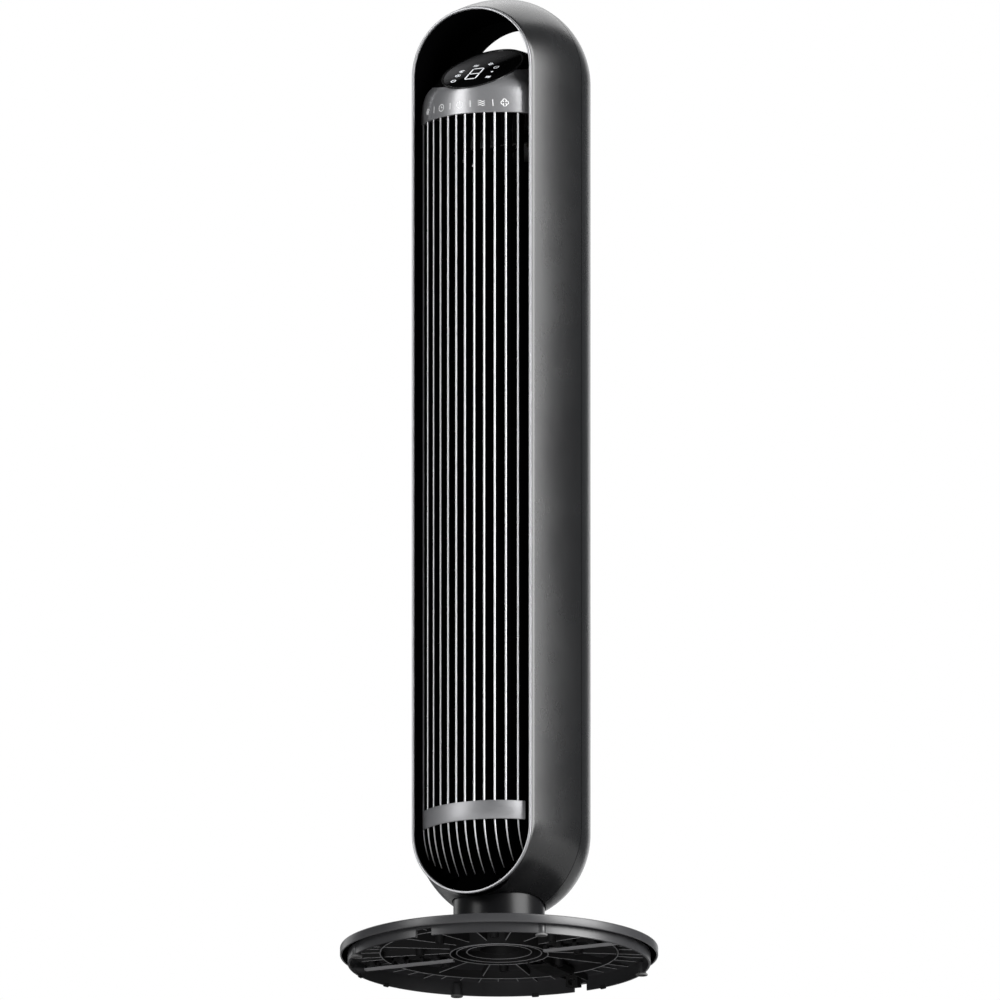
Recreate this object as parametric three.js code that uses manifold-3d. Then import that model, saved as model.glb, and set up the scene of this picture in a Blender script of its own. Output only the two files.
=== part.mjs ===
// Tower fan: a capsule-shaped tower with a handle tunnel through its top, a bulging front grille of
// vertical fins, a slanted display pod and a two-piece ribbed round base that the tower swings on.
//
// Units are millimetres. +Z is up, -Y is the front. The origin is on the floor, on the swing axis.

import * as THREE from 'three';
import { mergeVertices } from 'three/addons/utils/BufferGeometryUtils.js';
import Module from 'manifold-3d';

const wasm = await Module();
wasm.setup();

// ---------------------------------------------------------------- driving dimensions

const GAP = 0.3;                       // clearance between neighbouring pieces
const FOOT_HEIGHT = 1.9;
const FLOOR_GAP = FOOT_HEIGHT + GAP;   // the skirt and the foot posts end this high

const BASE = {
  rimRadius: 148.8, rimLow: 10.5, rimHigh: 19, topHigh: 31, hubRadius: 46, hubHole: 30,
  skirtRadius: 141.6, skirtWall: 2.2, plate: 2.6, ribWall: 1.6,
  innerRing: 45.8, middleRing: 76, outerRing: 111.3,
  ribLow: 15, ribSpokes: 16, flangeLow: 9.5, flangeWall: 2.2, footCircle: 139, footTurn: -2.5,
};
const CORD_NOTCH = { x: 17, halfWidth: 7, high: 9.5 };
const CORD_GLAND = { halfWidth: 6, setBack: 22, length: 9, hole: 3.6, holeHigh: 8 };
const SKIRT_WINDOW = { degrees: -94, halfWidth: 8.5 };
const FOOT = { radius: 5.7, postRadius: 3.6 };

const NECK = {
  radius: 42.8, wall: 3, floor: 3, floorHole: 12, plateHigh: 79.5, shoulder: 20, post: 16, cableHole: 9,
  screwCircle: 36, screwHole: 2.2,
};
const QUARTERS = [45, 135, 225, 315];  // degrees of the feet and of the neck's screws
const NECK_LOW = BASE.topHigh + GAP;

const SWING = { module: 1.5, fixedTeeth: 32, pinionTeeth: 12, low: 88, thickness: 6 };
const GEAR_RADIUS = SWING.module * SWING.fixedTeeth / 2;
const PINION_RADIUS = SWING.module * SWING.pinionTeeth / 2;
const PINION_Y = GEAR_RADIUS + PINION_RADIUS;
const TURNTABLE = { low: 83.3, thickness: 3.7, hole: 21, radius: 56 };
const BEARING_RING = { inner: 30, outer: 38 };
const SWING_MOTOR = { radius: 24, low: 97, high: 113, earX: 31, earHalf: 4, earThickness: 1.5, earEnd: 5 };

const SHELL = { radius: 82, midY: 8, low: 128, high: 844.5, frontY: -57.4, wall: 2.4, frontWall: 2.2 };
const SHELL_CURVE = { half: 1.45, low: 8 };                    // how late the front half narrows and drops
const LIP = { half: 62.2, low: 120.6, high: 845.4 };           // the shell's front edge
const RING = { inner: 60.2, outer: 62, front: -59.4 };         // bright trim around the opening
const TUNNEL = { half: 60, wall: 1.5, front: -51, back: 56 };  // handle tunnel and outlet frame

const FRAME_NECK_Y = -44.5;            // the frame and the fins stop here, in front of the neck
const FRAME_SIDE_Y = -28;              // and here along the sides
const NECK_CLEAR_HIGH = 90;            // the neck and its turntable end below this
const TUNNEL_CLEAR_LOW = 790;          // the frame keeps its full depth above this

const GRILLE = { radius: 73.9, pitch: 9.35, fin: 1.8, depth: 12, low: 131.8, perSide: 6, underArc: 58 };
const TIE = { rows: 10, spacing: 66.6, first: 168, height: 1.6, recess: 4, depth: 5 };
const BAND = { low: 125.3, high: 143.2, halfAngle: 45, thickness: 1.2 };
const POD = { low: 802.3, wall: 2.5, frontShoulder: 806, rearShoulder: 846, shoulderCurve: 1.2 };
const DISPLAY = {
  axisHigh: 877.2, slope: 0.7, centreY: -35.5, halfWidth: 40.5, halfDepth: 37.5,
  rim: 1, bezelInner: 3.5, seat: 1.2, opening: 5,      // in from the oval's edge, and down from its plane
};

const WHEEL = { y: 14, radius: 46, inner: 36, low: 172, high: 745, blades: 16, disc: 3, shaft: 4 };
const MOTOR = { radius: 40, low: 118, high: 157 };
const MOUNT_PLATE = { low: 158.3, thickness: 3 };
const TOP_PLATE = { low: 752.3, thickness: 3.5 };
const INTAKE = {
  half: 44, low: 196, high: 764, end: 22, slotRows: 18, slotHeight: 15, slotHalf: 17, slotX: 19.5,
};

const SCREW = {
  x: 60, heights: [176, 480, 786], seatY: 56, headRadius: 3.6, headHigh: 2.4, shankRadius: 1.6, shank: 16,
  holeRadius: 2.1, wellRadius: 4.2, bossRadius: 6,
};

const ARC = 12;          // facets on half a circle
const ROUND = 24;        // facets on a whole circle
const SIDE = 120;        // half the width and depth of the blocks that cut the tower
const TALL = 1000;       // and their height

// ---------------------------------------------------------------- finishes

const finish = (color, roughness, metalness) => () =>
  new THREE.MeshStandardMaterial({ color, roughness, metalness });
const FINISH = {
  shell: finish(0x3c3c3f, 0.42, 0.55),
  black: finish(0x0b0b0c, 0.45, 0.0),
  baseBlack: finish(0x242426, 0.5, 0.1),
  silver: finish(0xb9b9bb, 0.32, 0.9),
  pod: finish(0x8b8b8d, 0.3, 0.85),
  gloss: finish(0x050506, 0.08, 0.0),
  rubber: finish(0x1b1b1c, 0.85, 0.0),
  steel: finish(0xa9abad, 0.35, 1.0),
  brass: finish(0xb08d4a, 0.35, 1.0),
  white: finish(0xe4e2dc, 0.5, 0.0),
  board: finish(0x1f5a34, 0.55, 0.0),
};

// ---------------------------------------------------------------- solids

function signedVolume(positions, triangles) {
  const a = new THREE.Vector3();
  const b = new THREE.Vector3();
  const c = new THREE.Vector3();
  let total = 0;
  for (let i = 0; i < triangles.length; i += 3) {
    a.fromArray(positions, 3 * triangles[i]);
    b.fromArray(positions, 3 * triangles[i + 1]);
    c.fromArray(positions, 3 * triangles[i + 2]);
    total += a.dot(b.cross(c)) / 6;
  }
  return total;
}

// A closed three.js geometry as a manifold solid, with its faces turned outward.
function solid(source) {
  let geometry = source.clone();
  geometry.deleteAttribute('normal');
  geometry.deleteAttribute('uv');
  geometry = mergeVertices(geometry, 1e-4);
  const positions = Float32Array.from(geometry.attributes.position.array);
  const triangles = [];
  const index = geometry.index.array;
  for (let i = 0; i < index.length; i += 3) {
    const [a, b, c] = [index[i], index[i + 1], index[i + 2]];
    if (a !== b && b !== c && c !== a) triangles.push(a, b, c);
  }
  if (signedVolume(positions, triangles) < 0) {
    for (let i = 0; i < triangles.length; i += 3) {
      [triangles[i], triangles[i + 1]] = [triangles[i + 1], triangles[i]];
    }
  }
  const mesh = new wasm.Mesh({
    numProp: 3, vertProperties: positions, triVerts: Uint32Array.from(triangles),
  });
  return new wasm.Manifold(mesh);
}

function toGeometry(body) {
  const mesh = body.getMesh();
  const geometry = new THREE.BufferGeometry();
  geometry.setAttribute('position', new THREE.BufferAttribute(mesh.vertProperties, 3));
  geometry.setIndex(new THREE.BufferAttribute(mesh.triVerts, 1));
  geometry.computeVertexNormals();
  return geometry;
}

const join = (bodies) => bodies.reduce((sum, body) => sum.add(body));
const without = (body, cutters) => cutters.reduce((rest, cutter) => rest.subtract(cutter), body);

function place(geometry, x, y, z) {
  return geometry.translate(x, y, z);
}

// A block given by its lowest and highest corners.
function block(x0, x1, y0, y1, z0, z1) {
  const box = new THREE.BoxGeometry(x1 - x0, y1 - y0, z1 - z0);
  return solid(place(box, (x0 + x1) / 2, (y0 + y1) / 2, (z0 + z1) / 2));
}

// A body of revolution about the vertical line through (x, y). The profile is [radius, z] pairs.
function turned(profile, x = 0, y = 0, facets = ROUND) {
  const points = profile.map(([radius, z]) => new THREE.Vector2(radius, z));
  const lathe = new THREE.LatheGeometry(points, facets, Math.PI / 2);
  return solid(place(lathe.rotateX(Math.PI / 2), x, y, 0));
}

function disc(radius, z0, z1, x = 0, y = 0, facets = ROUND) {
  return turned([[0, z0], [radius, z0], [radius, z1], [0, z1]], x, y, facets);
}

function tube(inner, outer, z0, z1, x = 0, y = 0, facets = ROUND) {
  return turned([[inner, z0], [outer, z0], [outer, z1], [inner, z1], [inner, z0]], x, y, facets);
}

// A round bar along Y.
function rod(radius, x, y0, y1, z, facets = 10) {
  const bar = new THREE.CylinderGeometry(radius, radius, y1 - y0, facets);
  return solid(place(bar, x, (y0 + y1) / 2, z));
}

const extrude = (shape, depth) =>
  new THREE.ExtrudeGeometry(shape, { depth, bevelEnabled: false, steps: 1, curveSegments: ARC });

// A plan outline in X and Y, raised from z0 to z1.
const raised = (shape, z0, z1) => solid(place(extrude(shape, z1 - z0), 0, 0, z0));

// A front outline in X and Z, run from y0 back to y1.
function runBack(shape, y0, y1) {
  return solid(place(extrude(shape, y1 - y0).rotateX(Math.PI / 2), 0, y1, 0));
}

// A side outline in Y and Z, run from x0 to x1.
function runAcross(shape, x0, x1) {
  const sideways = new THREE.Matrix4().makeBasis(
    new THREE.Vector3(0, 1, 0), new THREE.Vector3(0, 0, 1), new THREE.Vector3(1, 0, 0));
  return solid(place(extrude(shape, x1 - x0).applyMatrix4(sideways), x0, 0, 0));
}

// An upright slot shape: two half circles joined by straight sides.
function stadium(half, low, high) {
  const shape = new THREE.Shape();
  shape.absarc(0, high, half, 0, Math.PI, false);
  shape.absarc(0, low, half, Math.PI, 2 * Math.PI, false);
  return shape;
}

function outline(points) {
  return new THREE.Shape(points.map(([a, b]) => new THREE.Vector2(a, b)));
}

// A closed skin over a row of rings with the same number of points, with a flat end on each.
function loft(rings) {
  const count = rings[0].length;
  const positions = [];
  const triangles = [];
  for (const ring of rings) {
    for (const point of ring) positions.push(point.x, point.y, point.z);
  }
  for (let r = 0; r + 1 < rings.length; r += 1) {
    for (let i = 0; i < count; i += 1) {
      const a = r * count + i;
      const b = r * count + (i + 1) % count;
      triangles.push(a, b, a + count, b, b + count, a + count);
    }
  }
  for (const [r, flip] of [[0, true], [rings.length - 1, false]]) {
    for (let i = 1; i + 1 < count; i += 1) {
      const fan = [r * count, r * count + i, r * count + i + 1];
      triangles.push(...(flip ? [fan[0], fan[2], fan[1]] : fan));
    }
  }
  const geometry = new THREE.BufferGeometry();
  geometry.setAttribute('position', new THREE.Float32BufferAttribute(positions, 3));
  geometry.setIndex(triangles);
  return solid(geometry);
}

const mix = THREE.MathUtils.lerp;
const radians = THREE.MathUtils.degToRad;

// ---------------------------------------------------------------- tower casing

// The shell's front half at depth y: half its width, and the heights of its two arc centres.
function shellSection(y) {
  const share = (SHELL.midY - y) / (SHELL.midY - SHELL.frontY);
  return {
    half: mix(SHELL.radius, LIP.half, share ** SHELL_CURVE.half),
    low: mix(SHELL.low, LIP.low, share ** SHELL_CURVE.low),
    high: mix(SHELL.high, LIP.high, share),
  };
}

function shellFrontBody(inset, reachFront, reachBack) {
  const steps = 8;
  const rings = [];
  for (let i = 0; i <= steps; i += 1) {
    const y = mix(SHELL.frontY, SHELL.midY, i / steps);
    const { half, low, high } = shellSection(y);
    const ring = [];
    for (const [centre, turn] of [[high, 0], [low, Math.PI]]) {
      for (let k = 0; k <= ARC; k += 1) {
        const angle = turn + Math.PI * k / ARC;
        const r = half - inset;
        ring.push(new THREE.Vector3(r * Math.cos(angle), y, centre + r * Math.sin(angle)));
      }
    }
    rings.push(ring);
  }
  const shifted = (ring, y) => ring.map((point) => point.clone().setY(y));
  if (reachFront > 0) rings.unshift(shifted(rings[0], SHELL.frontY - reachFront));
  if (reachBack > 0) rings.push(shifted(rings[rings.length - 1], SHELL.midY + reachBack));
  return loft(rings);
}

function capsule(inset) {
  const radius = SHELL.radius - inset;
  const profile = [];
  for (const [centre, turn] of [[SHELL.low, -Math.PI / 2], [SHELL.high, 0]]) {
    for (let k = 0; k <= ARC / 2; k += 1) {
      const angle = turn + Math.PI * k / ARC;
      profile.push([radius * Math.max(0, Math.cos(angle)), centre + radius * Math.sin(angle)]);
    }
  }
  profile[0][0] = 0;
  profile[profile.length - 1][0] = 0;
  return turned(profile, 0, SHELL.midY);
}

// The handle's way out through the rear shell, above the pod's back.
function rearHandleOpening() {
  const prism = runBack(stadium(TUNNEL.half, POD.low, LIP.high), 20, SIDE);
  return prism.subtract(block(-SIDE, SIDE, 0, SIDE + 10, 0, POD.rearShoulder + GAP));
}

const neckHole = () => disc(NECK.radius + 1.2, 30, TURNTABLE.low - GAP);

function frontShell() {
  const outer = shellFrontBody(0, 0, 0);
  const inner = shellFrontBody(SHELL.frontWall, 5, 5);
  const seam = block(-SIDE, SIDE, SHELL.midY - GAP / 2, SHELL.midY + 5, 0, TALL);
  return without(outer, [inner, seam, neckHole()]);
}

function intakeWindow(grow) {
  const half = INTAKE.half + grow;
  return runBack(stadium(half, INTAKE.low + INTAKE.half, INTAKE.high - INTAKE.half), 40, SIDE);
}

function screwSpots() {
  const spots = [];
  for (const z of SCREW.heights) {
    for (const side of [-1, 1]) spots.push({ x: side * SCREW.x, z });
  }
  return spots;
}

function rearShell() {
  const shell = capsule(0).subtract(capsule(SHELL.wall));
  const front = block(-SIDE, SIDE, -SIDE, SHELL.midY + GAP / 2, 0, TALL);
  const { seatY } = SCREW;
  const bosses = screwSpots().map(({ x, z }) => rod(SCREW.bossRadius, x, seatY - 8, seatY + 6, z));
  const holes = screwSpots().flatMap(({ x, z }) => [
    rod(SCREW.holeRadius, x, seatY - 20, seatY + 1, z),
    rod(SCREW.wellRadius, x, seatY, seatY + 30, z),
  ]);
  const inner = join(bosses).intersect(capsule(2 * GAP));
  const openings = [neckHole(), intakeWindow(0), rearHandleOpening()];
  return without(join([shell, inner]), [front, ...openings, ...holes]);
}

// The room inside both shell halves, kept clear of their walls.
function insideShell() {
  const behind = block(-SIDE, SIDE, SHELL.midY - 1, SIDE, 0, TALL);
  const rear = capsule(SHELL.wall + GAP).intersect(behind);
  return join([shellFrontBody(SHELL.wall + GAP, 0, 0), rear]);
}

// A screw that enters from the rear, with its head's seat at y = 0.
function shellScrew() {
  const head = rod(SCREW.headRadius, 0, 0, SCREW.headHigh, 0);
  return join([head, rod(SCREW.shankRadius, 0, -SCREW.shank, SCREW.headHigh / 2, 0)]);
}

function intakeGrille() {
  const { low, high, end, half, slotRows, slotHeight, slotHalf, slotX } = INTAKE;
  const patch = capsule(0.4).subtract(capsule(SHELL.wall)).intersect(intakeWindow(-GAP));
  const pitch = (high - low - 2 * end) / slotRows;
  const slots = [];
  for (let row = 0; row < slotRows; row += 1) {
    const z = low + end + pitch * (row + 0.5);
    const inRoundEnd = Math.min(z - low, high - z) < half;
    const reach = inRoundEnd ? slotHalf * 0.6 : slotHalf;
    for (const side of [-1, 1]) {
      const x = side * (slotX - slotHalf + reach);
      slots.push(block(x - reach, x + reach, 40, SIDE, z - slotHeight / 2, z + slotHeight / 2));
    }
  }
  return without(patch, slots);
}

function frontRing() {
  const outer = runBack(stadium(RING.outer, LIP.low, LIP.high), RING.front, SHELL.frontY - GAP);
  return outer.subtract(runBack(stadium(RING.inner, LIP.low, LIP.high), -SIDE, 0));
}

// The black frame around the outlet. At the top it is the front half of the handle tunnel.
function outletFrame() {
  const back = SHELL.midY - GAP / 2;
  const outer = runBack(stadium(TUNNEL.half + TUNNEL.wall, LIP.low, LIP.high), TUNNEL.front, back);
  const inner = runBack(stadium(TUNNEL.half, LIP.low, LIP.high), -SIDE, SIDE);
  const behindNeck = block(-SIDE, SIDE, FRAME_NECK_Y, SIDE, 0, NECK_CLEAR_HIGH);
  const behindSides = block(-SIDE, SIDE, FRAME_SIDE_Y, SIDE, NECK_CLEAR_HIGH - 10, TUNNEL_CLEAR_LOW);
  return without(outer, [inner, behindNeck, behindSides]).intersect(insideShell());
}

function handleLiner() {
  const arch = (half, low) => stadium(half, low, LIP.high);
  const outer = runBack(arch(TUNNEL.half + TUNNEL.wall, POD.low), SHELL.midY + GAP / 2, TUNNEL.back);
  const inner = runBack(arch(TUNNEL.half, POD.low), 0, SIDE);
  return without(outer, [inner, block(-SIDE, SIDE, 0, SIDE, 0, POD.low)]);
}

// ---------------------------------------------------------------- grille, band and pod

function finProfile(x, inset) {
  const radius = Math.sqrt((GRILLE.radius - inset) ** 2 - (Math.abs(x) + GRILLE.fin / 2) ** 2);
  const points = [[-radius, POD.low - GAP]];
  const steps = 5;
  for (let k = 0; k <= steps; k += 1) {
    const angle = radians(GRILLE.underArc) * k / steps;
    points.push([-radius * Math.cos(angle), GRILLE.low - radius * Math.sin(angle)]);
  }
  return points;
}

function fin(x) {
  const front = finProfile(x, 0);
  const back = finProfile(x, GRILLE.depth).reverse();
  return runAcross(outline([...front, ...back]), x - GRILLE.fin / 2, x + GRILLE.fin / 2);
}

function tie(gap, z) {
  const x = (gap + 0.5) * GRILLE.pitch;
  const half = GRILLE.pitch / 2;
  const front = TIE.recess - Math.sqrt(GRILLE.radius ** 2 - (Math.abs(x) + half) ** 2);
  return block(x - half, x + half, front, front + TIE.depth, z - TIE.height / 2, z + TIE.height / 2);
}

function frontGrille() {
  const parts = [];
  for (let k = -GRILLE.perSide; k <= GRILLE.perSide; k += 1) parts.push(fin(k * GRILLE.pitch));
  for (let row = 0; row < TIE.rows; row += 1) {
    for (let gap = -GRILLE.perSide; gap < GRILLE.perSide; gap += 1) {
      if ((gap + row) % 2 === 0) parts.push(tie(gap, TIE.first + row * TIE.spacing));
    }
  }
  const inside = runBack(stadium(TUNNEL.half - GAP, LIP.low, LIP.high), -SIDE, 0);
  const nearNeck = block(-SIDE, SIDE, FRAME_NECK_Y, SIDE, 0, NECK_CLEAR_HIGH);
  const nearPlates = block(-SIDE, SIDE, FRAME_SIDE_Y, SIDE, 0, TALL);
  return without(join(parts).intersect(inside), [nearNeck, nearPlates]);
}

// The plain trim band that wraps the fins near the bottom.
function trimBand() {
  const inner = GRILLE.radius + GAP;
  const shape = new THREE.Shape();
  const middle = -Math.PI / 2;
  const reach = radians(BAND.halfAngle);
  shape.absarc(0, 0, inner + BAND.thickness, middle - reach, middle + reach, false);
  shape.absarc(0, 0, inner, middle + reach, middle - reach, true);
  return raised(shape, BAND.low, BAND.high);
}

// The pod's foot in plan: the grille's arc in front, the tunnel's walls, and the rear shell behind.
function podFoot(angle, inset) {
  const front = GRILLE.radius - inset;
  const side = TUNNEL.half - GAP - inset;
  const rear = SHELL.radius - SHELL.wall - 4 * GAP - inset;
  const across = Math.cos(angle);
  const along = Math.sin(angle);
  const sideReach = side / Math.max(Math.abs(across), 1e-6);
  const offset = SHELL.midY * along;
  const rearReach = offset + Math.sqrt(offset ** 2 - SHELL.midY ** 2 + rear ** 2);
  const reach = Math.min(sideReach, along < 0 ? front : rearReach);
  return [reach * across, reach * along];
}

// The pod rises straight from its foot, then rounds over to the tilted oval of the display.
function podBody(inset, low) {
  const facets = 32;
  const rounds = 4;
  const ring = (at) => Array.from({ length: facets }, (_, k) => at(2 * Math.PI * k / facets));
  const shoulder = (y) => {
    const share = (y + GRILLE.radius) / (SHELL.midY + SHELL.radius + GRILLE.radius);
    return mix(POD.frontShoulder, POD.rearShoulder, Math.max(share, 0) ** POD.shoulderCurve) - inset;
  };
  const rings = [ring((angle) => new THREE.Vector3(...podFoot(angle, inset), low))];
  for (let k = 0; k <= rounds; k += 1) {
    const turn = Math.PI / 2 * k / rounds;
    rings.push(ring((angle) => {
      const [footX, footY] = podFoot(angle, inset);
      const ovalX = (DISPLAY.halfWidth - inset) * Math.cos(angle);
      const ovalY = DISPLAY.centreY + (DISPLAY.halfDepth - inset) * Math.sin(angle);
      const x = mix(footX, ovalX, 1 - Math.cos(turn));
      const y = mix(footY, ovalY, 1 - Math.cos(turn));
      const z = mix(shoulder(footY), displayHigh(ovalY) - 1.25 * inset, Math.sin(turn));
      return new THREE.Vector3(x, y, z);
    }));
  }
  return loft(rings);
}

const displayTilt = Math.atan(DISPLAY.slope);
const displayHigh = (y) => DISPLAY.axisHigh + DISPLAY.slope * y;
const displayLength = DISPLAY.halfDepth / Math.cos(displayTilt);

// An elliptical plate lying on the pod's tilted top, from one depth under the surface to another.
function displayPlate(shrink, from, to) {
  const shape = new THREE.Shape();
  shape.absellipse(0, 0, DISPLAY.halfWidth - shrink, displayLength - shrink, 0, 2 * Math.PI, false, 0);
  const plate = extrude(shape, to - from).translate(0, 0, from).rotateX(displayTilt);
  return solid(place(plate, 0, DISPLAY.centreY, displayHigh(DISPLAY.centreY)));
}

function podHousing() {
  const hollow = podBody(POD.wall, POD.low - 5);
  const recess = displayPlate(DISPLAY.rim, -DISPLAY.seat, 20);
  return without(podBody(0, POD.low), [hollow, recess, displayPlate(DISPLAY.opening, -12, 20)]);
}

function displayBezel() {
  const plate = displayPlate(DISPLAY.rim + GAP, GAP - DISPLAY.seat, 0.3);
  return plate.subtract(displayPlate(DISPLAY.bezelInner, -5, 5));
}

const displayLens = () => displayPlate(DISPLAY.bezelInner + GAP, GAP - DISPLAY.seat, 0.1);

function tiltedBoard(halfX, halfY, depth, thickness) {
  const board = new THREE.BoxGeometry(2 * halfX, 2 * halfY, thickness).translate(0, 0, -depth);
  return solid(place(board.rotateX(displayTilt), 0, DISPLAY.centreY, displayHigh(DISPLAY.centreY)));
}

// ---------------------------------------------------------------- air path

// A plate across the tower that leaves the outlet frame clear.
function crossPlate(z0, z1, holes) {
  const wide = disc(SHELL.radius - SHELL.wall - GAP, z0, z1, 0, SHELL.midY);
  const narrow = disc(57, z0, z1, 0, 4);
  const behindFrame = block(-SIDE, SIDE, FRAME_SIDE_Y + 1, SIDE, z0 - 1, z1 + 1);
  return without(join([wide.intersect(behindFrame), narrow]).intersect(insideShell()), holes);
}

function motorMount() {
  const { low, thickness } = MOUNT_PLATE;
  return crossPlate(low, low + thickness, [disc(16, low - 1, low + 9, 0, WHEEL.y)]);
}

function upperBearingHolder() {
  const { low, thickness } = TOP_PLATE;
  const plate = crossPlate(low, low + thickness, []);
  const boss = disc(14, low, low + 11, 0, WHEEL.y);
  return join([plate, boss]).subtract(disc(8.3, low - 1, low + 20, 0, WHEEL.y));
}

function fanMotor() {
  const { radius, low, high } = MOTOR;
  return turned([
    [4.5, low], [14, low], [14, low + 5], [radius - 5, low + 5], [radius, low + 10],
    [radius, high - 8], [radius - 5, high - 3], [15, high - 3], [15, high + 3], [4.5, high + 3], [4.5, low],
  ], 0, WHEEL.y);
}

function curvedWall(radiusStart, radiusEnd, degreesStart, degreesEnd, wall) {
  const steps = 8;
  const outside = [];
  const inside = [];
  for (let k = 0; k <= steps; k += 1) {
    const angle = radians(mix(degreesStart, degreesEnd, k / steps));
    const radius = mix(radiusStart, radiusEnd, k / steps);
    outside.push([(radius + wall) * Math.cos(angle), WHEEL.y + (radius + wall) * Math.sin(angle)]);
    inside.unshift([radius * Math.cos(angle), WHEEL.y + radius * Math.sin(angle)]);
  }
  return outline([...outside, ...inside]);
}

const DUCT_LOW = MOUNT_PLATE.low + MOUNT_PLATE.thickness + GAP;
const DUCT_HIGH = TOP_PLATE.low - GAP;
const ductScroll = () => raised(curvedWall(50, 64, 140, 213, 2), DUCT_LOW, DUCT_HIGH);
const ductTongue = () => raised(curvedWall(64, 49, -33, 12, 2), DUCT_LOW, DUCT_HIGH);

// ---------------------------------------------------------------- fan wheel, about its own axis

function wheelBlade() {
  const shape = new THREE.Shape();
  const middle = (WHEEL.radius + WHEEL.inner) / 2;
  shape.absarc(middle, 0, 6.2, radians(-50), radians(50), false);
  shape.absarc(middle - 0.4, 0, 5.2, radians(50), radians(-50), true);
  const geometry = new THREE.ExtrudeGeometry(shape, {
    depth: WHEEL.high - WHEEL.low - 2, bevelEnabled: false, steps: 1, curveSegments: 2,
  });
  return geometry.translate(-middle, 0, 0).rotateZ(radians(62)).translate(middle, 0, WHEEL.low + 1);
}

function fanWheel() {
  const { radius, inner, low, high, blades, disc: thick } = WHEEL;
  const parts = [
    tube(WHEEL.shaft + GAP, radius + 0.5, low, low + thick, 0, 0, 24),
    tube(WHEEL.shaft + GAP, radius + 0.5, high - thick, high, 0, 0, 24),
  ];
  const bays = 2;
  for (let k = 1; k < bays; k += 1) {
    const z = mix(low, high, k / bays);
    parts.push(tube(inner - 3, radius + 0.5, z - thick / 2, z + thick / 2, 0, 0, 24));
  }
  for (let k = 0; k < blades; k += 1) {
    parts.push(solid(wheelBlade().rotateZ(2 * Math.PI * k / blades)));
  }
  return join(parts);
}

const wheelHub = () => tube(WHEEL.shaft + GAP, 13, WHEEL.low + WHEEL.disc + GAP, WHEEL.low + 16, 0, 0, 16);
const driveShaft = () => disc(WHEEL.shaft, MOTOR.low + 3, WHEEL.low + 20, 0, 0, 16);
const topPivot = () => disc(WHEEL.shaft, WHEEL.high - 12, TOP_PLATE.low + 10, 0, 0, 16);

// ---------------------------------------------------------------- swing drive

// A toothed outline with straight-sided teeth, the first one centred on the given angle.
function gearShape(teeth, pitchRadius, firstTooth) {
  const { module } = SWING;
  const step = 2 * Math.PI / teeth;
  const points = [];
  const corners = [
    [pitchRadius - 1.2 * module, -0.29], [pitchRadius + 0.85 * module, -0.11],
    [pitchRadius + 0.85 * module, 0.11], [pitchRadius - 1.2 * module, 0.29],
  ];
  for (let k = 0; k < teeth; k += 1) {
    for (const [radius, share] of corners) {
      const angle = firstTooth + (k + share) * step;
      points.push([radius * Math.cos(angle), radius * Math.sin(angle)]);
    }
  }
  return outline(points);
}

function fixedGear() {
  const shape = gearShape(SWING.fixedTeeth, GEAR_RADIUS, Math.PI / 2);
  const wheel = raised(shape, SWING.low, SWING.low + SWING.thickness);
  return wheel.subtract(disc(NECK.post + GAP, 0, 200));
}

function swingPinion() {
  const halfTooth = Math.PI / SWING.pinionTeeth;
  const shape = gearShape(SWING.pinionTeeth, PINION_RADIUS, -Math.PI / 2 + halfTooth);
  const wheel = raised(shape, SWING.low, SWING.low + SWING.thickness);
  return join([wheel, disc(3, SWING.low, SWING.low + SWING.thickness + 2.4, 0, 0, 12)]);
}

function turntable() {
  const { low, thickness, hole, radius } = TURNTABLE;
  const behindFrame = block(-SIDE, SIDE, FRAME_NECK_Y + GAP, SIDE, 0, 200);
  const plate = tube(hole, radius, low, low + thickness).intersect(behindFrame);
  const posts = [-1, 1].map((side) =>
    disc(3.5, low, SWING_MOTOR.low - GAP, side * SWING_MOTOR.earX, PINION_Y, 12));
  return join([plate, ...posts]);
}

function swingMotor() {
  const { radius, low, high, earX, earHalf, earThickness, earEnd } = SWING_MOTOR;
  const reach = earX + earEnd;
  const ears = block(-reach, reach, PINION_Y - earHalf, PINION_Y + earHalf, low, low + earThickness);
  return join([disc(radius, low, high, 0, PINION_Y), ears]);
}

// ---------------------------------------------------------------- neck and base

function neckColumn() {
  const { radius, wall, floor, floorHole, plateHigh, shoulder, post, cableHole } = NECK;
  const postHigh = SWING.low + SWING.thickness + 1;
  const column = turned([
    [floorHole, NECK_LOW], [radius, NECK_LOW], [radius, plateHigh], [shoulder, plateHigh],
    [shoulder, SWING.low - GAP], [post, SWING.low - GAP], [post, postHigh], [cableHole, postHigh],
    [cableHole, plateHigh - wall], [radius - wall, plateHigh - wall], [radius - wall, NECK_LOW + floor],
    [floorHole, NECK_LOW + floor], [floorHole, NECK_LOW],
  ]);
  return without(column, neckScrewHoles());
}

function polar(radius, degrees) {
  return [radius * Math.cos(radians(degrees)), radius * Math.sin(radians(degrees))];
}

const neckScrewSpots = () => QUARTERS.map((degrees) => polar(NECK.screwCircle, degrees));
const neckScrewHoles = () => neckScrewSpots().map(([x, y]) => disc(NECK.screwHole, 20, 60, x, y, 8));
const footSpots = () => QUARTERS.map((degrees) => polar(BASE.footCircle, degrees + BASE.footTurn));

// A screw up into the neck, with its head under the base's plate.
function neckScrew() {
  const seat = BASE.topHigh - BASE.plate;
  return join([disc(4, seat - 2.7, seat - GAP, 0, 0, 10), disc(1.7, seat - 1, NECK_LOW + 12, 0, 0, 8)]);
}

// The underside of the top plate at a distance from the axis.
function plateUnderside(radius) {
  const share = (radius - BASE.hubRadius) / (BASE.skirtRadius - BASE.hubRadius);
  return mix(BASE.topHigh, BASE.rimHigh, THREE.MathUtils.clamp(share, 0, 1)) - BASE.plate;
}

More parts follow.
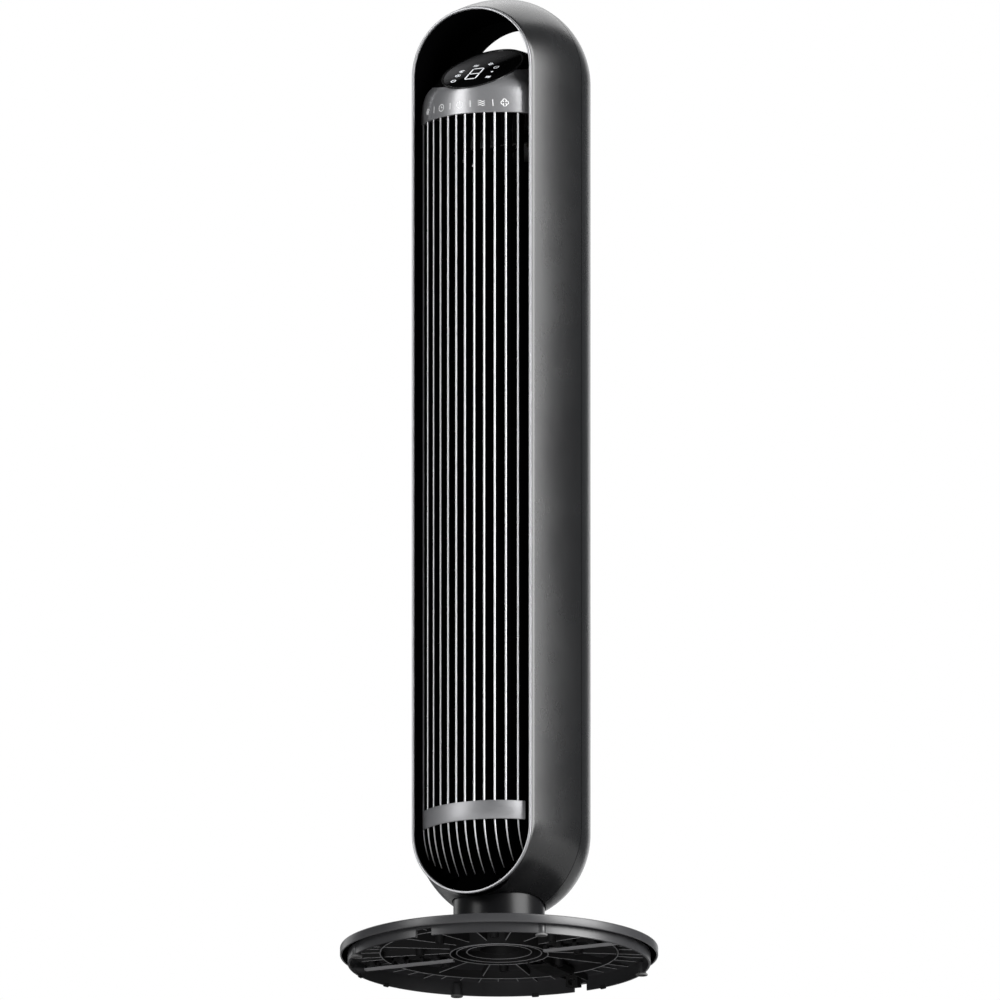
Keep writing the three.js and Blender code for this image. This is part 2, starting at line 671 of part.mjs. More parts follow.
function basePlate() {
  const { rimRadius, rimLow, rimHigh, topHigh, hubRadius, hubHole, skirtRadius, skirtWall } = BASE;
  const skirtInner = skirtRadius - skirtWall;
  return turned([
    [hubHole, plateUnderside(hubRadius)], [hubRadius, plateUnderside(hubRadius)],
    [skirtInner, plateUnderside(skirtInner)], [skirtInner, FLOOR_GAP], [skirtRadius, FLOOR_GAP],
    [skirtRadius, rimLow + 1.5], [rimRadius - 1.5, rimLow + 1.5], [rimRadius - 1.5, rimLow],
    [rimRadius - 0.4, rimLow], [rimRadius, rimLow + 0.4], [rimRadius, rimHigh - 0.8],
    [rimRadius - 0.8, rimHigh], [skirtRadius, rimHigh], [hubRadius, topHigh], [hubHole, topHigh],
    [hubHole, plateUnderside(hubRadius)],
  ], 0, 0, 48);
}

function ringRib(radius) {
  const half = BASE.ribWall / 2;
  return tube(radius - half, radius + half, BASE.ribLow, plateUnderside(radius) + 1);
}

// A straight rib under the plate along the line from the inner radius to the outer one.
function spokeRib(degrees, from, to) {
  const { ribLow, ribWall } = BASE;
  const shape = outline([
    [from, ribLow], [to, ribLow], [to, plateUnderside(to) + 1], [from, plateUnderside(from) + 1],
  ]);
  const rib = extrude(shape, ribWall).rotateX(Math.PI / 2).translate(0, ribWall / 2, 0);
  return solid(rib.rotateZ(radians(degrees)));
}

function baseRibs() {
  const { innerRing, middleRing, outerRing, ribSpokes, ribLow, skirtRadius, skirtWall } = BASE;
  const skirtInner = skirtRadius - skirtWall / 2;
  const parts = [ringRib(innerRing), ringRib(outerRing)];
  for (let k = 0; k < ribSpokes; k += 1) {
    const degrees = 360 * (k + 0.5) / ribSpokes;
    const short = k % 2 === 0;
    parts.push(spokeRib(degrees, innerRing, short ? outerRing : skirtInner));
    if (short) {
      const [x, y] = polar(middleRing, degrees);
      parts.push(disc(4, ribLow - 4, plateUnderside(middleRing) + 1, x, y, 8));
    }
  }
  return parts;
}

function footPosts() {
  return footSpots().map(([x, y]) => disc(FOOT.postRadius, FLOOR_GAP, BASE.rimLow + 4, x, y, 8));
}

function cordChannelWalls() {
  const { x, halfWidth } = CORD_NOTCH;
  const high = plateUnderside(BASE.skirtRadius) + 0.5;
  return [-1, 1].map((side) => {
    const at = x + side * (halfWidth + 1);
    return block(at - 0.8, at + 0.8, BASE.hubRadius + 2, BASE.skirtRadius - 3, BASE.ribLow - 3, high);
  });
}

function wholeBase() {
  const { x, halfWidth, high } = CORD_NOTCH;
  const notch = block(x - halfWidth, x + halfWidth, BASE.skirtRadius - 8, 160, 0, high);
  const [windowX, windowY] = polar(BASE.skirtRadius, SKIRT_WINDOW.degrees);
  const side = SKIRT_WINDOW.halfWidth;
  const window = block(windowX - side, windowX + side, windowY - 4, windowY + 6, 0, BASE.rimLow - 1);
  const body = join([basePlate(), ...baseRibs(), ...footPosts(), ...cordChannelWalls()]);
  return without(body, [notch, window, ...neckScrewHoles()]);
}

// Half of the base: side is -1 for the front half and 1 for the rear one.
function baseHalf(whole, side) {
  const between = (a, b) => [Math.min(a, b), Math.max(a, b)];
  const keep = block(-160, 160, ...between(side * GAP / 2, side * 160), 0, 60);
  const along = between(side * GAP / 2, side * BASE.flangeWall);
  const flanges = [-1, 1].map((end) => {
    const across = between(end * BASE.innerRing, end * (BASE.skirtRadius - 1));
    return block(...across, ...along, BASE.flangeLow, BASE.rimHigh - 1.5);
  });
  return join([whole.intersect(keep), ...flanges]);
}

function cordGland() {
  const { x } = CORD_NOTCH;
  const { halfWidth, setBack, length, hole, holeHigh } = CORD_GLAND;
  const front = BASE.skirtRadius - setBack;
  const back = front + length;
  const body = block(x - halfWidth, x + halfWidth, front, back, FLOOR_GAP + 1, BASE.ribLow - 1);
  return body.subtract(rod(hole, x, front - 5, back + 5, holeHigh, 16));
}

// ---------------------------------------------------------------- assembly

const fan = new THREE.Group();

function group(x = 0, y = 0, z = 0) {
  const made = new THREE.Group();
  made.position.set(x, y, z);
  fan.add(made);
  return made;
}

function addMesh(parent, name, body, material, x = 0, y = 0, z = 0) {
  const mesh = new THREE.Mesh(toGeometry(body), material());
  mesh.name = name;
  mesh.position.set(x, y, z);
  parent.add(mesh);
  return mesh;
}

function addBase() {
  const base = group();
  const whole = wholeBase();
  addMesh(base, 'base_front_half', baseHalf(whole, -1), FINISH.baseBlack);
  addMesh(base, 'base_rear_half', baseHalf(whole, 1), FINISH.baseBlack);
  const names = ['foot_rear_right', 'foot_rear_left', 'foot_front_left', 'foot_front_right'];
  footSpots().forEach(([x, y], k) => {
    addMesh(base, names[k], disc(FOOT.radius, 0, FOOT_HEIGHT, 0, 0, 16), FINISH.rubber, x, y);
  });
  addMesh(base, 'neck_column', neckColumn(), FINISH.baseBlack);
  neckScrewSpots().forEach(([x, y], k) => {
    addMesh(base, `neck_screw_${k + 1}`, neckScrew(), FINISH.steel, x, y);
  });
  addMesh(base, 'fixed_swing_gear', fixedGear(), FINISH.white);
  const { inner, outer } = BEARING_RING;
  const bearing = tube(inner, outer, NECK.plateHigh + GAP, TURNTABLE.low - GAP);
  addMesh(base, 'swivel_bearing_ring', bearing, FINISH.white);
  addMesh(base, 'cord_gland', cordGland(), FINISH.rubber);
}

function addCasing(tower) {
  addMesh(tower, 'front_shell', frontShell(), FINISH.shell);
  addMesh(tower, 'rear_shell', rearShell(), FINISH.shell);
  addMesh(tower, 'front_ring', frontRing(), FINISH.silver);
  addMesh(tower, 'outlet_frame', outletFrame(), FINISH.black);
  addMesh(tower, 'handle_liner', handleLiner(), FINISH.black);
  addMesh(tower, 'rear_intake_grille', intakeGrille(), FINISH.black);
  addMesh(tower, 'front_grille', frontGrille(), FINISH.silver);
  addMesh(tower, 'trim_band', trimBand(), FINISH.silver);
  screwSpots().forEach(({ x, z }, k) => {
    addMesh(tower, `shell_screw_${k + 1}`, shellScrew(), FINISH.steel, x, SCREW.seatY + GAP, z);
  });
}

function addPod(tower) {
  addMesh(tower, 'pod_housing', podHousing(), FINISH.pod);
  addMesh(tower, 'display_bezel', displayBezel(), FINISH.black);
  addMesh(tower, 'display_lens', displayLens(), FINISH.gloss);
  addMesh(tower, 'display_board', tiltedBoard(24, 27, 6, 1.6), FINISH.board);
  addMesh(tower, 'touch_board', block(-30, 30, -57.6, -56, 806, 820), FINISH.board);
  const board = block(-45, 45, -20, 50, 780, 781.6);
  const coil = block(-30, -6, 0, 24, 781, 799);
  const capacitor = disc(7, 781, 800, 18, 10, 16);
  addMesh(tower, 'power_board', join([board, coil, capacitor]), FINISH.board);
}

function addDrive(tower) {
  addMesh(tower, 'turntable', turntable(), FINISH.white);
  addMesh(tower, 'swing_motor', swingMotor(), FINISH.steel);
  addMesh(tower, 'fan_motor', fanMotor(), FINISH.steel);
  addMesh(tower, 'motor_mount', motorMount(), FINISH.black);
  addMesh(tower, 'upper_bearing_holder', upperBearingHolder(), FINISH.black);
  const bush = tube(WHEEL.shaft + 0.1, 8, TOP_PLATE.low, TOP_PLATE.low + 10, 0, WHEEL.y, 16);
  addMesh(tower, 'upper_bearing_bush', bush, FINISH.brass);
  addMesh(tower, 'duct_scroll', ductScroll(), FINISH.black);
  addMesh(tower, 'duct_tongue', ductTongue(), FINISH.black);
}

function addMovers() {
  const wheel = group(0, WHEEL.y, 0);
  addMesh(wheel, 'fan_wheel', fanWheel(), FINISH.black);
  addMesh(wheel, 'wheel_hub', wheelHub(), FINISH.rubber);
  addMesh(wheel, 'drive_shaft', driveShaft(), FINISH.steel);
  addMesh(wheel, 'top_pivot', topPivot(), FINISH.steel);
  addMesh(group(0, PINION_Y, 0), 'swing_pinion', swingPinion(), FINISH.white);
}

const tower = group();
addBase();
addCasing(tower);
addPod(tower);
addDrive(tower);
addMovers();

export default fan;
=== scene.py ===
"""The looks of a tower fan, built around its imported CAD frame.

Lengths in the constants and in the shape functions are millimetres; meshes are made in metres.
"""

import math
from functools import partial

import bmesh
import bpy
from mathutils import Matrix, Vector


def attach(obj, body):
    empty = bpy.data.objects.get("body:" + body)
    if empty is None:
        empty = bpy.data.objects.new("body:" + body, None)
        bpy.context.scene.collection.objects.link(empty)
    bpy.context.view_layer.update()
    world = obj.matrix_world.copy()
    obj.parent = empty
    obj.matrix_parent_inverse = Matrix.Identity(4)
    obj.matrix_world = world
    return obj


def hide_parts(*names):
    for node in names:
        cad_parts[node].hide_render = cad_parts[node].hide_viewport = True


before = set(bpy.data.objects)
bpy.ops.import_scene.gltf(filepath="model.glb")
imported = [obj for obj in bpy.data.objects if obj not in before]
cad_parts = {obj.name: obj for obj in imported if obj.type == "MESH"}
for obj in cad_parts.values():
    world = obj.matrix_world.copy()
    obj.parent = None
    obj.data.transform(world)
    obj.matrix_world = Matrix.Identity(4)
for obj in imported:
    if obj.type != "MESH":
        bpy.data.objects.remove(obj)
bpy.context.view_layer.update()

MM = 0.001
GAP = 0.3

SHELL = dict(radius=82.0, mid_y=8.0, low=128.0, high=844.5, front_y=-57.4, wall=2.4)
LIP = dict(half=62.2, low=120.6, high=845.4)
RING = dict(inner=59.7, outer=62.1, front=-59.4, back=-57.2)
TUNNEL = dict(half=60.0, wall=1.5, liner_back=48.0)
# How much wider the handle opening is, at each depth y.
FLARE = ((48, 0.0), (52, 1.3), (56, 3.0), (60, 5.2), (65, 7.6), (72, 10.5), (80, 12.5), (88, 13.5))
POD = dict(low=802.3, front_shoulder=806.0, rear_shoulder=846.0, wall=2.5, fullness=0.86)
DISPLAY = dict(axis_high=877.2, slope=0.7, centre_y=-35.5, half_width=40.5, half_depth=37.5)
# The black cap round the display: the largest share of the pod's rounding that it takes beside it, the silver
# share left at the rear, how far the deepest side is turned to the left, how early and softly the cap comes
# down, and how fast it reaches the shoulder at the rear.
CAP = dict(drop=0.38, rear_share=0.01, turn=20.0, begin=0.55, ease=0.65, rear_rate=2.5)
WINDOW_SHEEN = dict(fade=50.0, start=0.92, end=1.6, sheen_peak=85.0)   # painted sheen: how the display's base colour brightens toward one side, standing in for a reflection
SIGNS = dict(height=811.0, first=-38.2, step=8.55, size=6.4, pen=0.5, raised=0.06)
LIT = dict(size=4.8, pen=0.3, raised=0.34)
DIGIT = dict(x=-4.2, along=-10.5, width=11.0, height=24.0, bar=1.15, lean=0.45)
GRILLE = dict(radius=73.9, pitch=9.35, fin=1.8, depth=12.0, low=131.8, per_side=6, edge=1.5)
TIE = dict(rows=19, spacing=33.3, first=168.0, height=1.7, recess=4.0, depth=5.0)
BAND = dict(inner=74.2, thickness=1.2, low=125.3, high=143.2, half_angle=45.0)
# A near-black wall that stands in for the shade inside the grille's lower end.
SHADE_BAFFLE = dict(inner=50.0, outer=51.0, low=64.0, shoulder=78.0, high=166.0, half_angle=60.0,
              low_half_angle=22.0)
INTAKE = dict(half=43.7, low=240.0, high=720.0, pitch=6.4, rise=4.4, slat=1.5, depth=5.0)
NECK = dict(radius=42.8, low=31.3, high=79.5, shoulder=20.0, hole=9.0, post=16.0, post_high=95.0)
BASE = dict(rim_radius=148.8, rim_low=10.5, rim_high=19.0, top_high=31.0, hub_radius=46.0, hub_hole=30.0,
            skirt_radius=141.6, skirt_wall=2.2, plate=2.6, rib_wall=1.5, rib_low=15.0, floor_gap=2.2,
            inner_ring=45.8, outer_ring=111.3, foot_circle=139.0, foot_turn=-2.5, flange_low=9.5)
# edge: the width of the pale painted-highlight strips on the ribs' lower edges.
RIBS = dict(spokes=16, fork=7.4, fork_wall=1.2, seam_gap=0.7, stop=108.0, boss_circle=74.0, bosses=8,
            edge=0.9)
NOTCH = dict(x=17.0, half_width=7.0, high=9.5)
WHEEL = dict(y=14.0, radius=46.0, low=172.0, high=745.0, blades=40, bays=7, ring=2.4, shaft=4.3)
SCREWS = dict(x=60.0, heights=(176.0, 480.0, 786.0), seat_y=56.3)

CAMERA_AZIMUTH = 26.0
CAMERA_ELEVATION = -12.4
CAMERA_DISTANCE = 3.0
PHOTO_WIDTH = 0.935                      # metres across the frame
AIM_HEIGHT = 0.4467
AIM_RIGHT = 0.00084


def mix(a, b, share):
    """The value a share of the way from a to b."""
    return a + (b - a) * share


def polar(radius, degrees):
    """A point in plan at an angle from +X."""
    return radius * math.cos(math.radians(degrees)), radius * math.sin(math.radians(degrees))


# ---------------------------------------------------------------- shapes: (points, faces) pairs


def skin(rings, round_ring=True, round_row=False, cap_start=False, cap_end=False):
    """Faces over a row of rings with the same number of points."""
    count = len(rings[0])
    points = [point for ring in rings for point in ring]
    faces = []
    for r in range(len(rings) if round_row else len(rings) - 1):
        a, b = r * count, (r + 1) % len(rings) * count
        for i in range(count if round_ring else count - 1):
            j = (i + 1) % count
            faces.append((a + i, a + j, b + j, b + i))
    if cap_start:
        faces.append(tuple(reversed(range(count))))
    if cap_end:
        faces.append(tuple(range(len(points) - count, len(points))))
    return points, faces


def capped(rings):
    """A solid with a flat face at each end of its row of rings."""
    return skin(rings, cap_start=True, cap_end=True)


def looped(rings):
    """A solid whose last ring joins its first."""
    return skin(rings, round_row=True)


def merge(shapes):
    """Several shapes as one."""
    points, faces = [], []
    for more_points, more_faces in shapes:
        start = len(points)
        points += more_points
        faces += [tuple(i + start for i in face) for face in more_faces]
    return points, faces


def moved(shape, x=0.0, y=0.0, z=0.0, turn=0.0):
    """The shape turned about Z by so many degrees, then shifted."""
    c, s = math.cos(math.radians(turn)), math.sin(math.radians(turn))
    points = [(c * px - s * py + x, s * px + c * py + y, pz + z) for px, py, pz in shape[0]]
    return points, shape[1]


def turned(profile, steps=128, start=0.0, end=360.0, closed=True):
    """A body of revolution about Z over (radius, z) points. A closed profile is the wall's whole section."""
    whole = end - start >= 360
    count = steps if whole else steps + 1
    rings = []
    for k in range(count):
        angle = math.radians(mix(start, end, k / steps))
        rings.append([(r * math.cos(angle), r * math.sin(angle), z) for r, z in profile])
    return skin(rings, round_ring=closed, round_row=whole, cap_start=not whole, cap_end=not whole)


def disc(radius, low, high, ease=0.4, steps=64):
    """A round plate with eased edges."""
    soft = 0.3 * ease
    under = [(0, low), (radius - ease, low), (radius - soft, low + soft), (radius, low + ease)]
    return turned(under + [(r, low + high - z) for r, z in reversed(under)], steps)


def hoop(inner, outer, low, high, ease=0.3, steps=128):
    """A flat ring with eased edges."""
    return turned(eased_box(inner, outer, low, high, ease), steps)


def eased_box(a0, a1, b0, b1, ease):
    """A rectangle's outline with its four corners cut."""
    return [(a0 + ease, b0), (a1 - ease, b0), (a1, b0 + ease), (a1, b1 - ease),
            (a1 - ease, b1), (a0 + ease, b1), (a0, b1 - ease), (a0, b0 + ease)]


def block(x0, x1, y0, y1, z0, z1, ease=0.3):
    """A box with its corners eased all round."""
    rings = []
    for z, inset in ((z0, ease), (z0 + ease, 0), (z1 - ease, 0), (z1, ease)):
        outline = eased_box(x0 + inset, x1 - inset, y0 + inset, y1 - inset, ease)
        rings.append([(x, y, z) for x, y in outline])
    return capped(rings)


def stadium(half, low, high, arc=64):
    """An upright slot outline in X and Z, two half circles joined by straight sides."""
    points = []
    for centre, turn in ((high, 0.0), (low, math.pi)):
        for k in range(arc + 1):
            angle = turn + math.pi * k / arc
            points.append((half * math.cos(angle), centre + half * math.sin(angle)))
    return points


def slot_tube(sections, arc=64):
    """A closed tube around a front opening: each section is (half, low, high, y), joined end to end."""
    rings = [[(x, y, z) for x, z in stadium(half, low, high, arc)] for half, low, high, y in sections]
    return looped(rings)


def slot_plug(half, low, high, y0, y1):
    """A solid upright slot shape from y0 back to y1, used to cut."""
    rings = [[(x, y, z) for x, z in stadium(half, low, high)] for y in (y0, y1)]
    return capped(rings)


def upright_circle(radius, x, y, z, steps):
    """A circle about a front-to-back line."""
    return [(x + across, y, z + up) for across, up in (polar(radius, 360 * k / steps) for k in range(steps))]


# ---------------------------------------------------------------- pieces


def smooth(obj, degrees=32.0):
    """Smooth shading that breaks at edges sharper than the angle."""
    limit = math.radians(degrees)
    mesh = bmesh.new()
    mesh.from_mesh(obj.data)
    bmesh.ops.remove_doubles(mesh, verts=mesh.verts, dist=1e-6)
    bmesh.ops.recalc_face_normals(mesh, faces=mesh.faces)
    for face in mesh.faces:
        face.smooth = True
    for edge in mesh.edges:
        edge.smooth = len(edge.link_faces) != 2 or edge.calc_face_angle(0) < limit
    mesh.to_mesh(obj.data)
    mesh.free()


def raw(name, shape):
    """A mesh object in metres from a shape in millimetres."""
    mesh = bpy.data.meshes.new(name)
    mesh.from_pydata([(x * MM, y * MM, z * MM) for x, y, z in shape[0]], [], shape[1])
    mesh.validate()
    obj = bpy.data.objects.new(name, mesh)
    bpy.context.scene.collection.objects.link(obj)
    smooth(obj)
    return obj


def cut(obj, shapes, operation="DIFFERENCE"):
    """Cuts the shapes out of an object's mesh for good."""
    cutters = [raw("cutter", shape) for shape in shapes]
    for cutter in cutters:
        step = obj.modifiers.new("cut", "BOOLEAN")
        step.operation = operation
        step.object = cutter
        step.solver = "EXACT"
    graph = bpy.context.evaluated_depsgraph_get()
    made = bpy.data.meshes.new_from_object(obj.evaluated_get(graph))
    obj.modifiers.clear()
    obj.data = made
    for cutter in cutters:
        bpy.data.objects.remove(cutter)


def piece(name, shape, material, body, stands_for=(), cuts=(), angle=32.0):
    """A finished piece: its mesh, its finish, the body it rides on and the CAD nodes it stands for."""
    obj = raw(name, shape)
    if cuts:
        cut(obj, cuts)
    smooth(obj, angle)
    obj.data.materials.clear()
    obj.data.materials.append(material)
    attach(obj, body)
    if stands_for:
        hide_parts(*stands_for)
    return obj


# ---------------------------------------------------------------- materials


class Nodes:
    """A short way to build one material's node tree around its Principled shader."""

    def __init__(self, name, **values):
        self.material = bpy.data.materials.new(name)
        self.material.use_nodes = True
        self.tree = self.material.node_tree
        self.shader = self.tree.nodes["Principled BSDF"]
        self.place = self.add("ShaderNodeTexCoord").outputs["Object"]
        for label, value in values.items():
            self.shader.inputs[label.replace("_", " ")].default_value = value

    def add(self, kind, inputs=(), **settings):
        node = self.tree.nodes.new(kind)
        for key, value in settings.items():
            setattr(node, key, value)
        for label, value in dict(inputs).items():
            node.inputs[label].default_value = value
        return node

    def link(self, output, socket):
        self.tree.links.new(output, socket)

    def noise(self, scale, detail=3.0, stretch=(1, 1, 1)):
        """Noise in object space, in lumps of about 1/scale metres."""
        mapping = self.add("ShaderNodeMapping", {"Scale": stretch})
        node = self.add("ShaderNodeTexNoise", {"Scale": scale, "Detail": detail, "Roughness": 0.55})
        self.link(self.place, mapping.inputs["Vector"])
        self.link(mapping.outputs["Vector"], node.inputs["Vector"])
        return node.outputs["Fac"]

    def remap(self, value, low, high, from_low=0.3, from_high=0.7):
        ends = {"From Min": from_low, "From Max": from_high, "To Min": low, "To Max": high}
        node = self.add("ShaderNodeMapRange", ends)
        self.link(value, node.inputs["Value"])
        return node.outputs["Result"]

    def colours(self, value, first, second):
        node = self.add("ShaderNodeMix", {"A": (*first, 1), "B": (*second, 1)}, data_type="RGBA")
        self.link(value, node.inputs["Factor"])
        return node.outputs["Result"]

    def tones(self, value, colour, low, high):
        """One colour, run between two shares of its brightness."""
        return self.colours(value, shade(colour, low), shade(colour, high))

    def plus(self, a, b):
        node = self.add("ShaderNodeMath", operation="ADD")
        self.link(a, node.inputs[0])
        self.link(b, node.inputs[1])
        return node.outputs["Value"]

    def bump(self, height, depth_mm, strength=1.0, under=None):
        node = self.add("ShaderNodeBump", {"Distance": depth_mm * MM, "Strength": strength})
        self.link(height, node.inputs["Height"])
        if under:
            self.link(under, node.inputs["Normal"])
        return node.outputs["Normal"]

    def finish(self, colour, roughness, normal):
        """Links what varies over the surface and returns the material."""
        for output, label in ((colour, "Base Color"), (roughness, "Roughness"), (normal, "Normal")):
            self.link(output, self.shader.inputs[label])
        return self.material


def shade(colour, factor):
    return tuple(min(1.0, c * factor) for c in colour)


def grained(name, colour, roughness, grain=1400.0, depth=0.012, spread=0.1, specular=0.5, wear=0.05):
    """Moulded or painted plastic: a fine grain, slow changes of tone, and faint handling marks."""
    n = Nodes(name, Specular_IOR_Level=specular)
    slow = n.remap(n.noise(9.0, 4.0), 0.0, 1.0)
    marks = n.noise(160.0, 6.0, stretch=(1, 1, 0.25))
    worn = n.plus(n.remap(marks, -wear, wear), n.remap(slow, roughness - 0.03, roughness + 0.03, 0, 1))
    fine = n.bump(n.noise(grain, 2.0), depth, 0.6, under=n.bump(marks, 0.1 * wear, 0.1))
    return n.finish(n.tones(slow, colour, 1 - spread, 1 + spread), worn, fine)


def brushed(name, colour, roughness, stretch=(1, 1, 0.02), scale=2600.0):
    """Satin metal or metallised trim with fine lines drawn along one direction."""
    n = Nodes(name, Metallic=1.0)
    lines, cloud = n.noise(scale, 3.0, stretch=stretch), n.noise(14.0, 3.0)
    tone = n.plus(n.remap(lines, -0.25, 0.25), n.remap(cloud, 0.25, 0.75))
    rough = n.plus(n.remap(lines, -0.05, 0.05), n.remap(cloud, roughness - 0.03, roughness + 0.03))
    return n.finish(n.tones(tone, colour, 0.92, 1.08), rough, n.bump(lines, 0.006, 0.5))


def metallic_paint(name, colour, roughness):
    """Silver-grey paint: tiny bright flakes under a clear coat."""
    n = Nodes(name, Metallic=0.75, Coat_Weight=0.35, Coat_Roughness=0.12)
    cells = n.add("ShaderNodeTexVoronoi", {"Scale": 3800.0})
    flake = n.add("ShaderNodeSeparateColor")
    n.link(n.place, cells.inputs["Vector"])
    n.link(cells.outputs["Color"], flake.inputs["Color"])
    tone = n.plus(n.remap(flake.outputs["Red"], 0.2, 0.8, 0, 1), n.remap(n.noise(11.0, 3.0), -0.3, 0.3))
    rough = n.remap(flake.outputs["Green"], roughness - 0.05, roughness + 0.05, 0, 1)
    return n.finish(n.tones(tone, colour, 0.86, 1.14), rough, n.bump(flake.outputs["Blue"], 0.003, 0.4))


def painted_window_sheen(n, colour):
    """A painted sheen: the base colour brightens toward the window's upper left, standing in for a
    reflection.
    """
    split = n.add("ShaderNodeSeparateXYZ")
    n.link(n.place, split.inputs["Vector"])
    side, top = DISPLAY["half_width"] * MM, DISPLAY["axis_high"] * MM
    left = n.remap(split.outputs["X"], 1.0, 0.0, -side, side)
    high = n.remap(split.outputs["Z"], 0.0, 1.0, top - WINDOW_SHEEN["fade"] * MM, top)
    sheen_share = n.remap(n.plus(left, high), 0.0, 1.0, WINDOW_SHEEN["start"], WINDOW_SHEEN["end"])
    return n.tones(sheen_share, colour, 1.0, WINDOW_SHEEN["sheen_peak"])


def gloss_black(name, colour=(0.004, 0.004, 0.0041), roughness=0.05, painted_sheen=False):
    """Polished display plastic with faint moulding waves and a little dust; on the display window a painted
    sheen takes the place of the dust.
    """
    n = Nodes(name, Coat_Weight=0.6, Coat_Roughness=0.03)
    waves = n.noise(45.0, 2.0)
    dust = n.remap(n.noise(2300.0, 1.0), 0.0, 1.0, 0.72, 0.8)
    # On the display window the colour is a painted sheen, a painted reflection, and not dust.
    dust_and_sheen = painted_window_sheen(n, colour) if painted_sheen else n.tones(dust, colour, 1.0, 4.0)
    rough = n.plus(n.remap(waves, roughness - 0.02, roughness + 0.03), n.remap(dust, 0, 0.15, 0, 1))
    return n.finish(dust_and_sheen, rough, n.bump(waves, 0.02, 0.12))


def printed(name, colour, glow):
    """Printed or lit symbols, slightly uneven as screen print is."""
    n = Nodes(name, Emission_Strength=glow)
    ink = n.remap(n.noise(1700.0, 3.0), 0.0, 1.0)
    painted = n.tones(ink, colour, 0.88, 1.0)
    n.link(painted, n.shader.inputs["Emission Color"])
    return n.finish(painted, n.remap(n.noise(900.0), 0.35, 0.5), n.bump(ink, 0.004, 0.3))


def rubbery(name, colour):
    """Dull moulded rubber."""
    n = Nodes(name, Specular_IOR_Level=0.3)
    soft = n.noise(240.0, 3.0)
    return n.finish(n.tones(n.remap(soft, 0, 1), colour, 0.8, 1.3), n.remap(soft, 0.72, 0.9),
                    n.bump(n.noise(2200.0, 3.0), 0.03, 0.7))


def circuit_board(name):
    """Black solder mask over faint copper runs."""
    n = Nodes(name)
    mask, lighter_mask, copper = (0.004, 0.004, 0.005, 1), (0.006, 0.006, 0.007, 1), (0.02, 0.019, 0.016, 1)
    runs = n.add("ShaderNodeTexBrick", {"Scale": 160.0, "Mortar Size": 0.06, "Color1": mask,
                                        "Color2": lighter_mask, "Mortar": copper})
    n.link(n.place, runs.inputs["Vector"])
    return n.finish(runs.outputs["Color"], n.remap(n.noise(300.0), 0.25, 0.45),
                    n.bump(runs.outputs["Fac"], 0.03, 0.5))


def pale_floor():
    """A one-sided pale studio floor: seen from below, it lets the view through."""
    n = Nodes("pale_floor", Roughness=0.6)
    grey = n.colours(n.remap(n.noise(1.5), 0, 1), (0.44, 0.44, 0.44), (0.48, 0.48, 0.48))
    n.link(grey, n.shader.inputs["Base Color"])
    clear = n.add("ShaderNodeBsdfTransparent")
    choose = n.add("ShaderNodeMixShader")
    n.link(n.add("ShaderNodeNewGeometry").outputs["Backfacing"], choose.inputs["Fac"])
    n.link(n.shader.outputs["BSDF"], choose.inputs[1])
    n.link(clear.outputs["BSDF"], choose.inputs[2])
    n.link(choose.outputs["Shader"], n.tree.nodes["Material Output"].inputs["Surface"])
    return n.material


SHELL_PAINT = grained("shell_paint", (0.0036, 0.0037, 0.004), 0.27, grain=1900.0, depth=0.0015,
                      spread=0.06, specular=0.85, wear=0.006)
BLACK = grained("black_moulding", (0.0014, 0.0014, 0.0016), 0.5, depth=0.006, specular=0.0)
LOUVRE = grained("louvre_moulding", (0.012, 0.012, 0.0125), 0.42, depth=0.006, specular=0.5)
LINER = grained("liner_moulding", (0.006, 0.006, 0.0063), 0.55, specular=0.0)
DEEP = grained("inner_moulding", (0.0009, 0.0009, 0.001), 0.7, specular=0.0)
NECK_BLACK = grained("neck_moulding", (0.004, 0.004, 0.0045), 0.3, depth=0.002, specular=0.32, wear=0.012)
BASE_BLACK = grained("base_moulding", (0.03, 0.03, 0.032), 0.34, depth=0.004, specular=0.85, wear=0.02)
UNDER = grained("underside_moulding", (0.015, 0.015, 0.0155), 0.5, specular=0.4)
# Painted highlight: a pale colour for the ribs' lower edges, which are the same black plastic, standing in
# for light catching them.
RIB_HIGHLIGHT = grained("rib_highlight_paint", (0.42, 0.42, 0.43), 0.4, depth=0.008, specular=0.6)
SILVER = brushed("satin_trim", (0.41, 0.41, 0.42), 0.36)
FIN_SILVER = brushed("fin_edge_foil", (0.66, 0.66, 0.67), 0.34, scale=2200.0)
BAND_SILVER = brushed("band_foil", (0.4, 0.4, 0.41), 0.46, stretch=(0.04, 0.04, 1))
POD_PAINT = metallic_paint("pod_paint", (0.44, 0.44, 0.45), 0.34)
# The display window: gloss black whose colour carries a painted sheen toward its upper left.
GLOSS = gloss_black("display_gloss", painted_sheen=True)
CAP_BLACK = gloss_black("display_cap", (0.003, 0.003, 0.003), 0.22)
BEZEL = gloss_black("bezel_gloss", (0.03, 0.03, 0.03), 0.16)
# White print with a weak painted glow, which brightens the pod's touch signs beyond what the lamps give.
GLOWING_WHITE_PRINT = printed("symbol_print_glow", (0.95, 0.95, 0.95), 0.3)
DIGIT_LIGHT = printed("digit_light", (0.9, 0.92, 0.95), 0.9)
RUBBER = rubbery("gland_rubber", (0.012, 0.012, 0.012))
PAD_GREY = rubbery("foot_pad_rubber", (0.16, 0.16, 0.16))
STEEL = brushed("zinc_steel", (0.55, 0.55, 0.56), 0.35, stretch=(1, 1, 1), scale=900.0)
BRASS = brushed("bush_brass", (0.62, 0.42, 0.16), 0.32, stretch=(1, 1, 0.05))
GEAR_BLACK = grained("gear_acetal", (0.012, 0.012, 0.012), 0.45, specular=0.3)
BOARD = circuit_board("circuit_board")


# ---------------------------------------------------------------- tower casing


